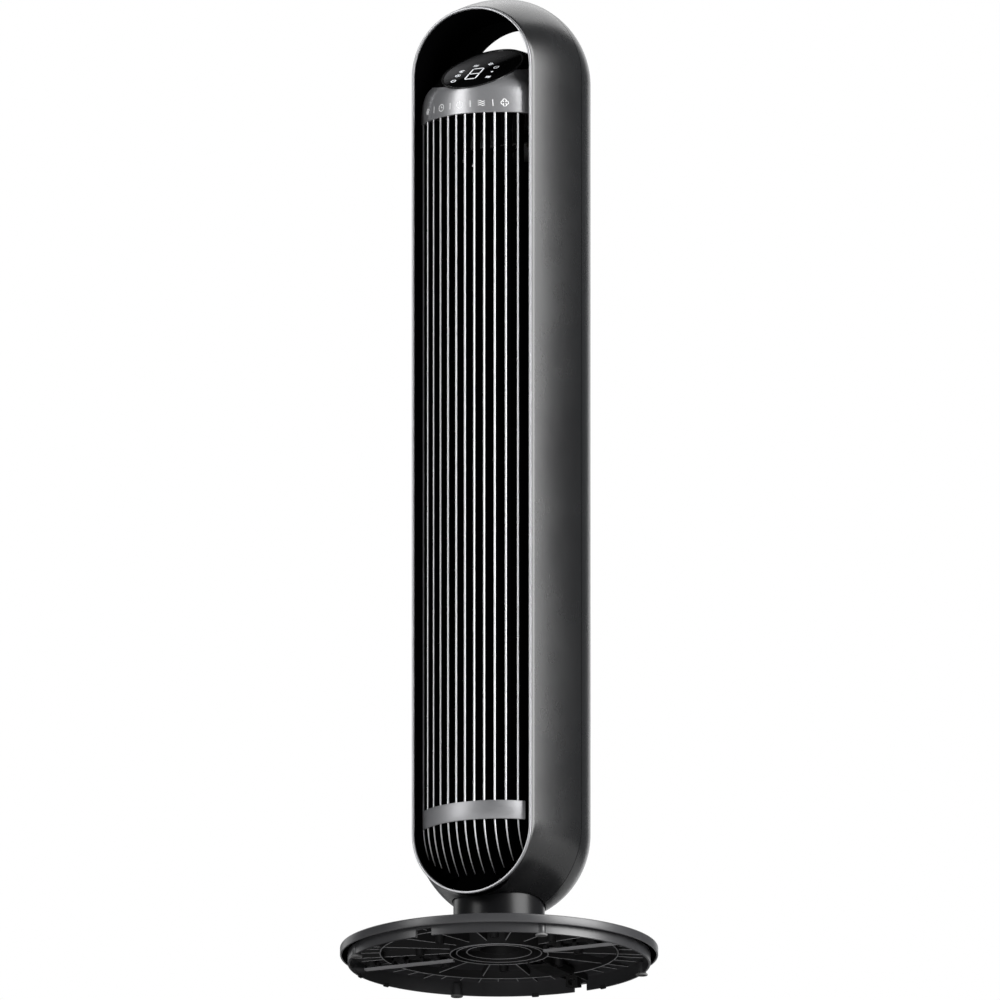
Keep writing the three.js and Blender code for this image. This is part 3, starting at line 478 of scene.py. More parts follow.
def shell_section(y):
    """The shell's front half at depth y: half its width and the heights of its arc centres."""
    share = (SHELL["mid_y"] - y) / (SHELL["mid_y"] - SHELL["front_y"])
    return (mix(SHELL["radius"], LIP["half"], share ** 1.45), mix(SHELL["low"], LIP["low"], share ** 8),
            mix(SHELL["high"], LIP["high"], share))


def neck_hole():
    """The space round the neck, cut out of the casing."""
    return turned([(0, 30), (44, 30), (44, 83), (0, 83)], 96)


def add_front_shell():
    """The front casing half, which narrows in a curve to the ring."""
    back, front, wall = SHELL["mid_y"] - GAP / 2, SHELL["front_y"], SHELL["wall"]
    steps = 26
    stations = [(back, 0.5), (back - 0.15, 0.2), (back - 0.5, 0.0)]
    stations += [(mix(back - 1.2, front + 1.1, k / steps), 0.0) for k in range(steps + 1)]
    stations += [(front + 0.4, 0.25), (front + 0.05, 0.7), (front, 1.1), (front + 0.3, wall - 0.2)]
    stations += [(mix(front + 1.5, back, k / 12), wall - 0.2) for k in range(13)]
    sections = []
    for y, inset in stations:
        half, low, high = shell_section(y)
        sections.append((half - inset, low, high, y))
    piece("casing_front", slot_tube(sections, 96), SHELL_PAINT, "tower", ["front_shell"],
          [neck_hole()], 25)


def capsule_profile(inset):
    """The rear half's side view: straight, with a round top and bottom."""
    radius, arc = SHELL["radius"] - inset, 40
    points = []
    for centre, turn in ((SHELL["low"], -90.0), (SHELL["high"], 0.0)):
        for k in range(arc + 1):
            r, z = polar(radius, turn + 90.0 * k / arc)
            points.append((max(r, 0.0), centre + z))
    return points


def add_handle_collar():
    """The wall that leads the handle tunnel out to the rear casing, widening toward the surface."""
    half, wall = TUNNEL["half"], TUNNEL["wall"]
    inner = [(half + flare, y) for y, flare in ((TUNNEL["liner_back"] - 0.5, 0.0), *FLARE)]
    outer = [(r + wall, y) for r, y in inner]
    rings = []
    for k in range(97):
        x, z = polar(1.0, 180.0 * k / 96)
        rings.append([(x * r, y, LIP["high"] + z * r) for r, y in inner + outer[::-1]])
    obj = piece("handle_collar", capped(rings), LINER, "tower")
    casing = moved(turned(capsule_profile(0.3), 96), y=SHELL["mid_y"] + GAP / 2)
    cut(obj, [casing], "INTERSECT")
    smooth(obj, 40)


def handle_opening():
    """The space that the handle tunnel takes out of the rear casing."""
    half, high, low = TUNNEL["half"], LIP["high"], POD["rear_shoulder"] + GAP
    arch = [(x, high + z) for x, z in (polar(half, 180 * k / 64) for k in range(65))]
    sections = []
    for y, flare in ((20, 0.0), *FLARE, (120, FLARE[-1][1])):
        grown = 1 + flare / half
        sections.append([(x * grown, y, max(high + (z - high) * grown, low)) for x, z in arch])
    return capped(sections)


def rod_along_y(radius, x, z, y0, y1):
    """A round bar that runs from front to back."""
    return capped([upright_circle(radius, x, y, z, 32) for y in (y0, y1)])


def screw_spots():
    """Where the casing screws are, in X and Z."""
    return [(side * SCREWS["x"], z) for z in SCREWS["heights"] for side in (-1, 1)]


def add_rear_shell():
    """The rear casing half with its intake window, handle opening and screw wells."""
    section = capsule_profile(0) + list(reversed(capsule_profile(SHELL["wall"])))
    shape = moved(turned(section, 96, 0, 180), y=SHELL["mid_y"] + GAP / 2)
    window = slot_plug(INTAKE["half"] + GAP, INTAKE["low"], INTAKE["high"], 40, 120)
    wells = [rod_along_y(4.2, x, z, 40, 90) for x, z in screw_spots()]
    piece("casing_rear", shape, SHELL_PAINT, "tower", ["rear_shell"],
          [neck_hole(), window, handle_opening(), *wells], 25)
    cups = []
    for x, z in screw_spots():
        seat = SCREWS["seat_y"] - GAP
        depth = SHELL["mid_y"] + math.sqrt((SHELL["radius"] - 1.2) ** 2 - (abs(x) + 4.2) ** 2)
        path = [(seat - 1.5, 4.2), (depth, 4.2), (depth, 5.2), (seat - 1.5, 5.2)]
        cups.append(looped([upright_circle(radius, x, y, z, 40) for y, radius in path]))
        cups.append(rod_along_y(4.3, x, z, seat - 1.5, seat))
    piece("screw_wells", merge(cups), SHELL_PAINT, "tower")


def add_front_ring():
    """The bright ring round the opening."""
    inner, outer, front, back = RING["inner"], RING["outer"], RING["front"], RING["back"]
    section = [(inner, back), (inner, front + 0.5), (inner + 0.15, front + 0.15), (inner + 0.45, front),
               (outer - 0.55, front), (outer - 0.2, front + 0.2), (outer, front + 0.7), (outer, back)]
    sections = [(half, LIP["low"], LIP["high"], y) for half, y in section]
    piece("ring_trim", slot_tube(sections, 128), SILVER, "tower", ["front_ring"], angle=50)


def opening_wall(z_low, z_high, y0, y1):
    """Strips of the opening's wall between two heights: its arcs and its straight sides."""
    half, wall = TUNNEL["half"], TUNNEL["wall"]
    shapes = []
    ends = ((LIP["high"], 0.0, z_high > LIP["high"]), (LIP["low"], 180.0, z_low < LIP["low"]))
    for centre, start, inside in ends:
        if inside:
            shapes.append(curved_strip(centre, start, half, half + wall, y0, y1))
    low, high = max(z_low, LIP["low"]), min(z_high, LIP["high"])
    for side in (-1, 1):
        x0, x1 = sorted((side * half, side * (half + wall)))
        shapes.append(block(x0, x1, y0, y1, low - 0.5, high + 0.5, 0.1))
    return shapes


def curved_strip(centre, start, inner, outer, y0, y1):
    """Half a round wall about a front-to-back line, from y0 to y1."""
    rings = []
    for k in range(97):
        x, z = polar(1.0, start + 180.0 * k / 96)
        rings.append([(x * r, y, centre + z * r) for r, y in
                      ((inner, y0), (outer, y0), (outer, y1), (inner, y1))])
    return capped(rings)


def add_tunnel():
    """The black wall inside the ring, and the liner behind it in the handle."""
    front = merge(opening_wall(0, 1000, -56.8, -46) + opening_wall(125, 800, -46, -28)
                  + opening_wall(790, 1000, -46, 7.85))
    piece("opening_wall", front, BLACK, "tower", ["outlet_frame"], angle=40)
    rear = merge(opening_wall(POD["low"], 1000, 8.15, TUNNEL["liner_back"]))
    piece("handle_wall", rear, LINER, "tower", ["handle_liner"], angle=40)


# ---------------------------------------------------------------- grille and band


def fin_path(x):
    """A fin's front line in Y and Z with its inward direction, from the pod down and round under the band."""
    radius = math.sqrt(GRILLE["radius"] ** 2 - (abs(x) + GRILLE["fin"] / 2) ** 2)
    path = [((-radius, mix(POD["low"] - GAP, GRILLE["low"], k / 12)), (1.0, 0.0)) for k in range(13)]
    edge = math.sqrt((TUNNEL["half"] - GAP) ** 2 - x * x)
    last = math.degrees(math.asin(min(0.97, (GRILLE["low"] - LIP["low"] + edge) / radius)))
    for k in range(1, 33):
        across, down = polar(radius, last * k / 32)
        y, z = -across, GRILLE["low"] - down
        if y > (-45.5 if z < 92 else -29.0):
            break
        path.append(((y, z), (across / radius, down / radius)))
    return path


def fin_body(x):
    """A fin's black blade behind its bright edge."""
    half = GRILLE["fin"] / 2 - 0.1
    rings = []
    for (y, z), (ny, nz) in fin_path(x):
        stop = -44.8 if z < 95 else -28.2
        depth = min(GRILLE["depth"], max(2.0, (stop - y) / max(ny, 0.2)))
        corners = ((-half, 0.8), (half, 0.8), (half, depth), (-half, depth))
        rings.append([(x + across, y + ny * inward, z + nz * inward) for across, inward in corners])
    return capped(rings)


def fin_edge(x):
    """A fin's bright front edge, which narrows where it curls under."""
    deep = GRILLE["edge"]
    side = [(-1, deep), (-1, 0.5), (-0.7, 0.15), (-0.3, 0.0)]
    section = side + [(-across, inward) for across, inward in reversed(side)]
    rings = []
    for (y, z), (ny, nz) in fin_path(x):
        half = GRILLE["fin"] / 2 * (1 - 0.45 * min(1.0, max(0.0, GRILLE["low"] - z) / 50))
        rings.append([(x + half * across, y + ny * inward, z + nz * inward) for across, inward in section])
    return capped(rings)


def tie(gap, z):
    """A short bar between two fins, set back from their edges."""
    half, tall = GRILLE["pitch"] / 2, TIE["height"] / 2
    x = (gap + 0.5) * GRILLE["pitch"]
    front = -math.sqrt(GRILLE["radius"] ** 2 - (abs(x) + half) ** 2) + TIE["recess"]
    return block(x - half, x + half, front, front + TIE["depth"], z - tall, z + tall, 0.25)


def add_grille():
    """The fins, their bright edges, and tie bars in staggered rows."""
    places = [k * GRILLE["pitch"] for k in range(-GRILLE["per_side"], GRILLE["per_side"] + 1)]
    blades = merge([fin_body(x) for x in places])
    piece("grille_fins", blades, DEEP, "tower", ["front_grille"])
    piece("grille_edges", merge([fin_edge(x) for x in places]), FIN_SILVER, "tower", angle=60)
    ties = []
    for row in range(TIE["rows"]):
        for gap in range(-GRILLE["per_side"], GRILLE["per_side"]):
            if (gap + row) % 2 == 0:
                ties.append(tie(gap, TIE["first"] + row * TIE["spacing"]))
    piece("grille_ties", merge(ties), BLACK, "tower")


def add_shade_baffle():
    """A near-black wall inside the lower end of the grille, put there as painted shade: it hides the neck and
    the motor.
    """
    inner, outer, shoulder = SHADE_BAFFLE["inner"], SHADE_BAFFLE["outer"], SHADE_BAFFLE["shoulder"]
    shapes = []
    for low, high, half_angle in ((shoulder, SHADE_BAFFLE["high"], SHADE_BAFFLE["half_angle"]),
                                  (SHADE_BAFFLE["low"], shoulder + 1, SHADE_BAFFLE["low_half_angle"])):
        shapes.append(turned(eased_box(inner, outer, low, high, 0.2), 64, 270 - half_angle, 270 + half_angle))
    piece("lower_shade_baffle", merge(shapes), DEEP, "tower")


def add_band():
    """The plain band that wraps the fins, with eased long edges."""
    inner, outer = BAND["inner"], BAND["inner"] + BAND["thickness"]
    low, high, ease = BAND["low"], BAND["high"], 0.5
    section = [(inner, low), (outer - ease, low), (outer - 0.15, low + 0.15), (outer, low + ease),
               (outer, high - ease), (outer - 0.15, high - 0.15), (outer - ease, high), (inner, high)]
    shape = turned(section, 96, -90 - BAND["half_angle"], -90 + BAND["half_angle"])
    piece("band_wrap", shape, BAND_SILVER, "tower", ["trim_band"], angle=60)


# ---------------------------------------------------------------- pod and display


def pod_foot(angle, inset=0.0):
    """The pod's foot in plan at an angle from +X."""
    front = GRILLE["radius"] - inset
    side = TUNNEL["half"] - GAP - inset
    rear = SHELL["radius"] - SHELL["wall"] - 4 * GAP - inset
    across, along = math.cos(angle), math.sin(angle)
    offset = SHELL["mid_y"] * along
    rear_reach = offset + math.sqrt(offset ** 2 - SHELL["mid_y"] ** 2 + rear ** 2)
    reach = min(side / max(abs(across), 1e-6), front if along < 0 else rear_reach)
    return reach * across, reach * along


def display_high(y):
    """The height of the display's tilted plane at a depth."""
    return DISPLAY["axis_high"] + DISPLAY["slope"] * y


def pod_point(angle, turn, inset=0.0):
    """A point of the pod's rounded skin: turn runs from 0 at its shoulder to a right angle at the display."""
    foot_x, foot_y = pod_foot(angle, inset)
    oval_x = (DISPLAY["half_width"] - inset) * math.cos(angle)
    oval_y = DISPLAY["centre_y"] + (DISPLAY["half_depth"] - inset) * math.sin(angle)
    share = max(0.0, (foot_y + GRILLE["radius"]) / (SHELL["mid_y"] + SHELL["radius"] + GRILLE["radius"]))
    shoulder = mix(POD["front_shoulder"], POD["rear_shoulder"], share ** 1.2) - inset
    ease = 1 - max(math.cos(turn), 0.0) ** POD["fullness"]
    return (mix(foot_x, oval_x, ease), mix(foot_y, oval_y, ease),
            mix(shoulder, display_high(oval_y) - 1.25 * inset, math.sin(turn) ** POD["fullness"]))


TILT = math.atan(DISPLAY["slope"])
OVAL_LENGTH = DISPLAY["half_depth"] / math.cos(TILT)


def on_display(x, along, lift=0.0):
    """A point on the display's tilted plane: across, up the slope, and above it."""
    y = DISPLAY["centre_y"] + along * math.cos(TILT) - lift * math.sin(TILT)
    z = display_high(DISPLAY["centre_y"]) + along * math.sin(TILT) + lift * math.cos(TILT)
    return x, y, z


def oval(shrink, lift):
    """An ellipse on the display's plane."""
    steps = 128
    half_x, half_y = DISPLAY["half_width"] - shrink, OVAL_LENGTH - shrink
    circle = [polar(1.0, 360 * k / steps) for k in range(steps)]
    return [on_display(half_x * x, half_y * y, lift) for x, y in circle]


def cap_turn(angle):
    """Where the black cap begins on the pod's skin: at the display in front, lower beside it, mostly at the
    left, and near the shoulder at the rear."""
    facing = max(0.0, -math.sin(angle - math.radians(CAP["turn"])))
    beside = max(0.0, CAP["begin"] - facing) / CAP["begin"]
    rear = min(1.0, CAP["rear_rate"] * max(0.0, math.sin(angle)))
    rear_drop = 1 - CAP["rear_share"] - CAP["drop"]
    return math.pi / 2 * (1 - CAP["drop"] * beside ** CAP["ease"] - rear_drop * rear)


def add_pod():
    """The silver pod, and the black cap that closes it round the display."""
    steps, rounds, wall = 128, 24, 1.5
    angles = [2 * math.pi * k / steps for k in range(steps)]
    rings = [[(*pod_foot(a, inset), POD["low"] + 0.4 - inset) for a in angles] for inset in (0.4, 0.0)]
    for k in range(rounds + 1):
        rings.append([pod_point(a, cap_turn(a) * k / rounds) for a in angles])
    rings.append([pod_point(a, cap_turn(a), wall) for a in angles])
    rings.append([(*pod_foot(a, POD["wall"]), POD["low"]) for a in angles])
    piece("pod_body", looped(rings), POD_PAINT, "tower", ["pod_housing"], angle=40)

    cap = []
    for k in range(rounds):
        cap.append([pod_point(a, mix(cap_turn(a), math.pi / 2, (k + 0.1) / rounds)) for a in angles])
    mouth = ((0.05, -0.05), (0.35, 0.0), (0.8, -0.1), (1.0, -1.2), (5.0, -1.3), (5.0, -3.0))
    cap += [oval(shrink, lift) for shrink, lift in mouth]
    cap.append([pod_point(a, cap_turn(a), wall) for a in angles])
    piece("pod_cap", looped(cap), CAP_BLACK, "tower", ["pod_housing"],
          angle=40)


def add_display():
    """The raised rim and the slightly domed window, as (shrink, lift) ovals from the outside in."""
    rim_steps = ((1.3, -0.9), (1.3, 0.0), (1.5, 0.25), (1.9, 0.4), (2.6, 0.35), (3.1, 0.15), (3.5, -0.2),
                 (3.5, -0.9))
    rim = [oval(*step) for step in rim_steps]
    piece("display_rim", looped(rim), BEZEL, "tower", ["display_bezel"],
          angle=60)
    dome_steps = ((3.8, -0.9), (3.8, -0.25), (4.0, -0.1), (4.6, 0.0), (12, 0.12), (22, 0.2), (32, 0.24))
    dome = [oval(*step) for step in dome_steps]
    piece("display_glass", capped(dome), GLOSS, "tower",
          ["display_lens"], angle=60)


def flat_patch(points, thick, where):
    """A thin solid from a flat outline: where(s, t, lift) puts each corner on the surface."""
    rings = [[where(s, t, lift) for s, t in points] for lift in (-0.05, thick)]
    return capped(rings)


def stroke(points, width):
    """Outlines of short bars along a line of points, one for each stretch."""
    bars = []
    for (ax, ay), (bx, by) in zip(points, points[1:]):
        length = math.hypot(bx - ax, by - ay) or 1.0
        ux, uy = (bx - ax) / length * width / 2, (by - ay) / length * width / 2
        bars.append([(ax - uy - ux, ay + ux - uy), (bx - uy + ux, by + ux + uy),
                     (bx + uy + ux, by - ux + uy), (ax + uy - ux, ay - ux - uy)])
    return bars


def arc_points(radius, start, end, steps=14, x=0.0, y=0.0):
    """Points along an arc, in plan or on a surface."""
    circle = [polar(radius, mix(start, end, k / steps)) for k in range(steps + 1)]
    return [(x + across, y + up) for across, up in circle]


SYMBOL_SIZES = {"bar": 5.6, "petals": 7.4, "curl": 5.6}


def symbol(kind, size, width):
    """The outlines of one generic sign, drawn that size across with a pen of that width."""
    r = size / 2
    if kind == "bar":
        return stroke([(0, -r), (0, r)], 0.6)
    if kind == "clock":
        return stroke(arc_points(r, 0, 360), width) + stroke([(0, 0.55 * r), (0, 0), (0.45 * r, 0)], width)
    if kind == "power":
        return stroke(arc_points(r, 125, 415), width) + stroke([(0, 0.2 * r), (0, 1.1 * r)], width)
    if kind == "lines":
        rows = []
        for row in (-0.6, 0.0, 0.6):
            wave = ((-1, row), (-0.3, row + 0.2), (0.3, row - 0.2), (1, row))
            rows += stroke([(x * r, y * r) for x, y in wave], width)
        return rows
    if kind == "petals":
        rows = []
        for turn in (0, 90, 180, 270):
            cx, cy = polar(0.55 * r, turn)
            rows += stroke(arc_points(0.42 * r, turn - 140, turn + 140, 10, cx, cy), width)
        return rows
    if kind == "curl":
        return stroke(arc_points(r, 20, 300), width) + stroke(arc_points(0.45 * r, 120, 420, 10), width)
    if kind == "dot":
        return [arc_points(0.45 * r, 0, 345, 22)]
    return stroke(arc_points(r, 0, 360), width)


def on_pod_face(middle, s, t, lift):
    """A point on the pod's face: across and up from a sign's middle, which is at an angle from the front."""
    angle = math.radians(-90 + middle) + s / GRILLE["radius"]
    low, high = 0.0, math.pi / 2
    for _ in range(24):
        turn = (low + high) / 2
        if pod_point(angle, turn)[2] < SIGNS["height"] + t:
            low = turn
        else:
            high = turn
    x, y, z = pod_point(angle, low)
    return x + lift * math.cos(angle), y + lift * math.sin(angle), z


def add_pod_symbols():
    """The row of touch signs on the pod's face."""
    kinds = ["curl", "bar", "clock", "bar", "power", "bar", "lines", "bar", "petals"]
    shapes = []
    for k, kind in enumerate(kinds):
        where = partial(on_pod_face, SIGNS["first"] + SIGNS["step"] * k)
        for outline in symbol(kind, SYMBOL_SIZES.get(kind, SIGNS["size"]), SIGNS["pen"]):
            shapes.append(flat_patch(outline, SIGNS["raised"], where))
    piece("touch_symbols", merge(shapes), GLOWING_WHITE_PRINT, "tower")


def digit_bar(x, y, half, upright):
    """One lit bar with pointed ends, about a middle."""
    thick = DIGIT["bar"] / 2
    point, shoulder = half, half - thick
    outline = [(-point, 0), (-shoulder, thick), (shoulder, thick), (point, 0), (shoulder, -thick),
               (-shoulder, -thick)]
    return [(x + b, y + a) if upright else (x + a, y + b) for a, b in outline]


def digit_eight():
    """The seven bars of a lit figure eight."""
    half, quarter, lean = DIGIT["width"] / 2, DIGIT["height"] / 4, DIGIT["lean"]
    x, y = DIGIT["x"], DIGIT["along"]
    bars = [digit_bar(x, y + row * 2 * quarter, half - lean, False) for row in (-1, 0, 1)]
    return bars + [digit_bar(x + side * half, y + row * quarter, quarter - lean, True)
                   for side in (-1, 1) for row in (-1, 1)]


def add_display_signs():
    """The lit figure and the signs round it."""
    digit = [flat_patch(outline, LIT["raised"], on_display) for outline in digit_eight()]
    piece("lit_digit", merge(digit), DIGIT_LIGHT, "tower")
    spots = [("ring", -20.5, -24.2), ("clock", -20.9, -11.5), ("curl", -20.4, -1.7), ("lines", -10.0, 8.9),
             ("petals", 4.7, 9.9), ("power", 14.4, 0.2), ("dot", 14.0, -10.0), ("lines", 14.7, -22.2)]
    shapes = []
    for kind, x, along in spots:
        for outline in symbol(kind, LIT["size"], LIT["pen"]):
            shapes.append(flat_patch([(px + x, py + along) for px, py in outline], LIT["raised"], on_display))
    piece("lit_symbols", merge(shapes), DIGIT_LIGHT, "tower")


# ---------------------------------------------------------------- rear intake


def intake_reach(z):
    """Half the intake's width at a height."""
    past = max(INTAKE["low"] - z, z - INTAKE["high"], 0.0)
    return math.sqrt(max(INTAKE["half"] ** 2 - past ** 2, 0.0))


def on_shell(x, z, inset):
    """A point under the rear casing's surface."""
    return x, SHELL["mid_y"] + math.sqrt((SHELL["radius"] - inset) ** 2 - x * x), z


def louvre(z):
    """One sloping slat that follows the rear shell's curve."""
    reach = min(intake_reach(z), intake_reach(z + INTAKE["rise"]), intake_reach(z - 1)) - 0.4
    if reach < 6:
        return None
    rise, slat, depth = INTAKE["rise"], INTAKE["slat"], INTAKE["depth"]
    rings = []
    for k in range(33):
        x = mix(-reach, reach, k / 32)
        rings.append([on_shell(x, z, 0.5), on_shell(x, z + slat, 0.5), on_shell(x, z + slat + rise, depth),
                      on_shell(x, z + rise, depth)])
    return capped(rings)


def add_intake():
    """The louvres with their border and three upright ribs."""
    shapes = []
    z = INTAKE["low"] - INTAKE["half"] + 4
    while z < INTAKE["high"] + INTAKE["half"] - 5:
        slat = louvre(z)
        if slat:
            shapes.append(slat)
        z += INTAKE["pitch"]
    border = []
    for inset_half, inset in ((0.1, 0.4), (0.1, 5.5), (2.4, 5.5), (2.4, 0.4)):
        outline = stadium(INTAKE["half"] - inset_half, INTAKE["low"], INTAKE["high"], 64)
        border.append([on_shell(x, z, inset) for x, z in outline])
    shapes.append(looped(border))
    for x, short in ((-22.0, 13), (0.0, 7), (22.0, 13)):
        low, high = INTAKE["low"] - INTAKE["half"] + short, INTAKE["high"] + INTAKE["half"] - short
        y = on_shell(x, 0, 0.9)[1]
        shapes.append(block(x - 0.9, x + 0.9, y - 5.0, y, low, high))
    piece("intake_louvres", merge(shapes), LOUVRE, "tower", ["rear_intake_grille"])


# ---------------------------------------------------------------- fan wheel


def add_wheel():
    """A cross-flow wheel: rings of curved blades between thin discs."""
    radius, low, high = WHEEL["radius"], WHEEL["low"], WHEEL["high"]
    shapes = []
    for bay in range(WHEEL["bays"] + 1):
        z = mix(low, high - WHEEL["ring"], bay / WHEEL["bays"])
        inner = WHEEL["shaft"] if bay in (0, WHEEL["bays"]) else 31.0
        shapes.append(hoop(inner, radius, z, z + WHEEL["ring"], 0.3, 72))
    section = []
    for lift in (0.0, 0.9):
        arc = [(radius - 0.7 - 10.5 * k / 6, lift + 3.2 * math.sin(math.pi * k / 6)) for k in range(7)]
        section += arc if lift == 0.0 else list(reversed(arc))
    blade = capped([[(x, y, z) for x, y in section] for z in (low + 1, high - 1)])
    shapes += [moved(blade, turn=360.0 * k / WHEEL["blades"]) for k in range(WHEEL["blades"])]
    piece("wheel_blades", moved(merge(shapes), y=WHEEL["y"]), DEEP, "impeller",
          ["fan_wheel"])


# ---------------------------------------------------------------- base and neck


def plate_under(radius):
    """The height of the underside of the base's sloping plate."""
    share = (radius - BASE["hub_radius"]) / (BASE["skirt_radius"] - BASE["hub_radius"])
    return mix(BASE["top_high"], BASE["rim_high"], min(max(share, 0), 1)) - BASE["plate"]


def base_section():
    """The base's wall in section, with a rounded rim and a skirt that steps in under it."""
    rim, low, high = BASE["rim_radius"], BASE["rim_low"], BASE["rim_high"]
    skirt, wall, hub = BASE["skirt_radius"], BASE["skirt_wall"], BASE["hub_radius"]
    inner, gap, bend = skirt - wall, BASE["floor_gap"], 1.6
    section = [(BASE["hub_hole"], plate_under(hub)), (hub, plate_under(hub)), (inner - 1, plate_under(inner)),
               (inner, plate_under(inner) - 1), (inner, gap + 0.3), (inner + 0.3, gap), (skirt - 0.4, gap),
               (skirt, gap + 0.4), (skirt, low + 2.4), (rim - 1.7, low + 2.4), (rim - 1.7, low + 0.3),
               (rim - 1.4, low), (rim - 0.7, low), (rim - 0.2, low + 0.25), (rim, low + 0.9)]
    section += [(rim - bend + r, high - bend + z) for r, z in (polar(bend, 15 * k) for k in range(7))]
    section += [(rim - 5, high + 0.15), (skirt, high + 0.5), (hub + 1.0, BASE["top_high"] - 0.1),
                (hub, BASE["top_high"]), (BASE["hub_hole"], BASE["top_high"])]
    return section


def foot_spots():
    """Where the four feet are, in plan."""
    return [polar(BASE["foot_circle"], angle + BASE["foot_turn"]) for angle in (45, 135, 225, 315)]


def spoke(degrees, start, end, low, wall):
    """A rib under the plate, running outward, with a slanted top."""
    half, rings = wall / 2, []
    for r, top in ((start, plate_under(start) + 0.6), (end, plate_under(end) + 0.6)):
        rings.append([(r, -half, low), (r, half, low), (r, half + 0.2, top), (r, -half - 0.2, top)])
    return moved(capped(rings), turn=degrees)


def arc_rib(radius, start, end, low):
    """A round rib under the plate."""
    half, top = BASE["rib_wall"] / 2, plate_under(radius) + 0.6
    section = [(radius - half, low), (radius + half, low), (radius + half, top), (radius - half, top)]
    return turned(section, 96, start, end)


def spoke_highlight(degrees, start, end, low, _wall):
    """A painted highlight: a pale strip on a spoke's lower edge that stands in for light catching it, of one
    width whatever the spoke's wall.
    """
    half = RIBS["edge"] / 2
    return moved(block(start, end, -half, half, low - 0.3, low + 0.5, 0.12), turn=degrees)


def ring_highlight(radius, start, end, low):
    """A painted highlight: a pale strip on a round rib's lower edge."""
    half = RIBS["edge"] / 2
    return turned(eased_box(radius - half, radius + half, low - 0.3, low + 0.5, 0.15), 96, start, end)


def clear_of_cord(degrees):
    """Whether a rib at this angle misses the cord channel."""
    return not 74 < degrees % 360 < 92


def half_layout(side, skirt, make_ring, make_spoke):
    """One half's round ribs and forked spokes, as far as the skirt, made by the two functions."""
    start = RIBS["seam_gap"] + (0 if side > 0 else 180)
    end = start + 180 - 2 * RIBS["seam_gap"]
    low, inner, outer = BASE["rib_low"], BASE["inner_ring"], BASE["outer_ring"]
    shapes = [make_ring(inner, start, end, low - 3.0), make_ring(outer, start, end, low - 2.0)]
    for k in range(RIBS["spokes"]):
        degrees = 360 / RIBS["spokes"] * (k + 0.5)
        if not start <= degrees <= end:
            continue
        reach = skirt if clear_of_cord(degrees) else RIBS["stop"]
        shapes.append(make_spoke(degrees, inner, reach, low + 0.5, BASE["rib_wall"]))
        for prong in (degrees - RIBS["fork"], degrees + RIBS["fork"]):
            if clear_of_cord(prong):
                shapes.append(make_spoke(prong, outer, skirt, low + 1.5, RIBS["fork_wall"]))
    return shapes


def half_ribs(side):
    """The ribs and screw bosses under one half of the base; side is 1 for the rear half."""
    low, skirt = BASE["rib_low"], BASE["skirt_radius"] - BASE["skirt_wall"] + 0.4
    shapes = half_layout(side, skirt, arc_rib, spoke)
    boss = turned([(2.2, low - 3.5), (4.2, low - 3.5), (4.6, 24.0), (2.2, 24.0)], 40)
    for k in range(RIBS["bosses"]):
        x, y = polar(RIBS["boss_circle"], 360 / RIBS["bosses"] * (k + 0.5))
        if y * side > 0:
            shapes.append(moved(boss, x, y))
    return shapes


def rib_highlight_strips(side):
    """Painted highlights: pale strips on the lower edges of one half's ribs and of its two joining bars."""
    skirt = BASE["skirt_radius"] - BASE["skirt_wall"] + 0.2
    shapes = half_layout(side, skirt, ring_highlight, spoke_highlight)
    bar_low = BASE["flange_low"]
    for end in (-1, 1):
        x0, x1 = sorted((end * (BASE["inner_ring"] + 1), end * (skirt - 0.4)))
        y0, y1 = sorted((side * 0.15, side * 2.3))
        shapes.append(block(x0, x1, y0, y1, bar_low - 0.2, bar_low + 2.2, 0.12))
    return shapes


def flange(end, side):
    """A joining bar along the seam, with slots through it and screw ears."""
    inner, outer = BASE["inner_ring"] + 1, BASE["skirt_radius"] - BASE["skirt_wall"] - 0.2
    near, far = sorted((side * 0.2, side * 2.2))
    low = BASE["flange_low"]
    shapes = []
    stretches = 6
    for k in range(stretches):
        a, b = mix(inner, outer, k / stretches), mix(inner, outer, (k + 1) / stretches)
        x0, x1 = sorted((end * a, end * b))
        shapes.append(block(x0, x1, near, far, low, low + 2.6, 0.2))
        shapes.append(block(x0, x1, near, far, low + 6.0, 19.0, 0.2))
        post = end * (a + 2.0)
        shapes.append(block(post - 2, post + 2, near, far, low, 19.0, 0.2))
    ears = (64.0, 99.0, 130.0)
    for r in ears:
        x0, x1 = end * r - 4, end * r + 4
        y0, y1 = sorted((side * 2.0, side * 8.5))
        shapes.append(block(x0, x1, y0, y1, low + 2.6, low + 5.6, 0.5))
        shapes.append(moved(turned([(1.8, low + 2.0), (3.6, low + 2.0), (3.6, low + 9), (1.8, low + 9)], 32),
                            end * r, side * 5.2))
    return shapes


def rear_tabs():
    """Small rounded tabs that hang below the skirt's rear edge."""
    shapes = []
    for degrees in (184.0, 165.0, 102.0, 72.0):
        tab = block(BASE["skirt_radius"] - 2.4, BASE["skirt_radius"] - 0.4, -3.4, 3.4, 0.8, 5.0, 0.5)
        shapes.append(moved(tab, turn=degrees))
    return shapes


def cord_channel():
    """The channel from the hub to the rear notch, with its cover."""
    x, half = NOTCH["x"], NOTCH["half_width"]
    far = math.sqrt(BASE["skirt_radius"] ** 2 - (x + half) ** 2) - 3.5
    shapes = [block(x + side * (half + 1) - 0.8, x + side * (half + 1) + 0.8, 44, far, 11.0, 17.0, 0.2)
              for side in (-1, 1)]
    cover = [(x - half - 3, 52), (x + half + 3, 52), (x + half + 3, 96), (x + half, 104), (x - half, 104),
             (x - half - 3, 96)]
    shapes.append(capped([[(px, py, z) for px, py in cover] for z in (9.4, 11.2)]))
    return shapes


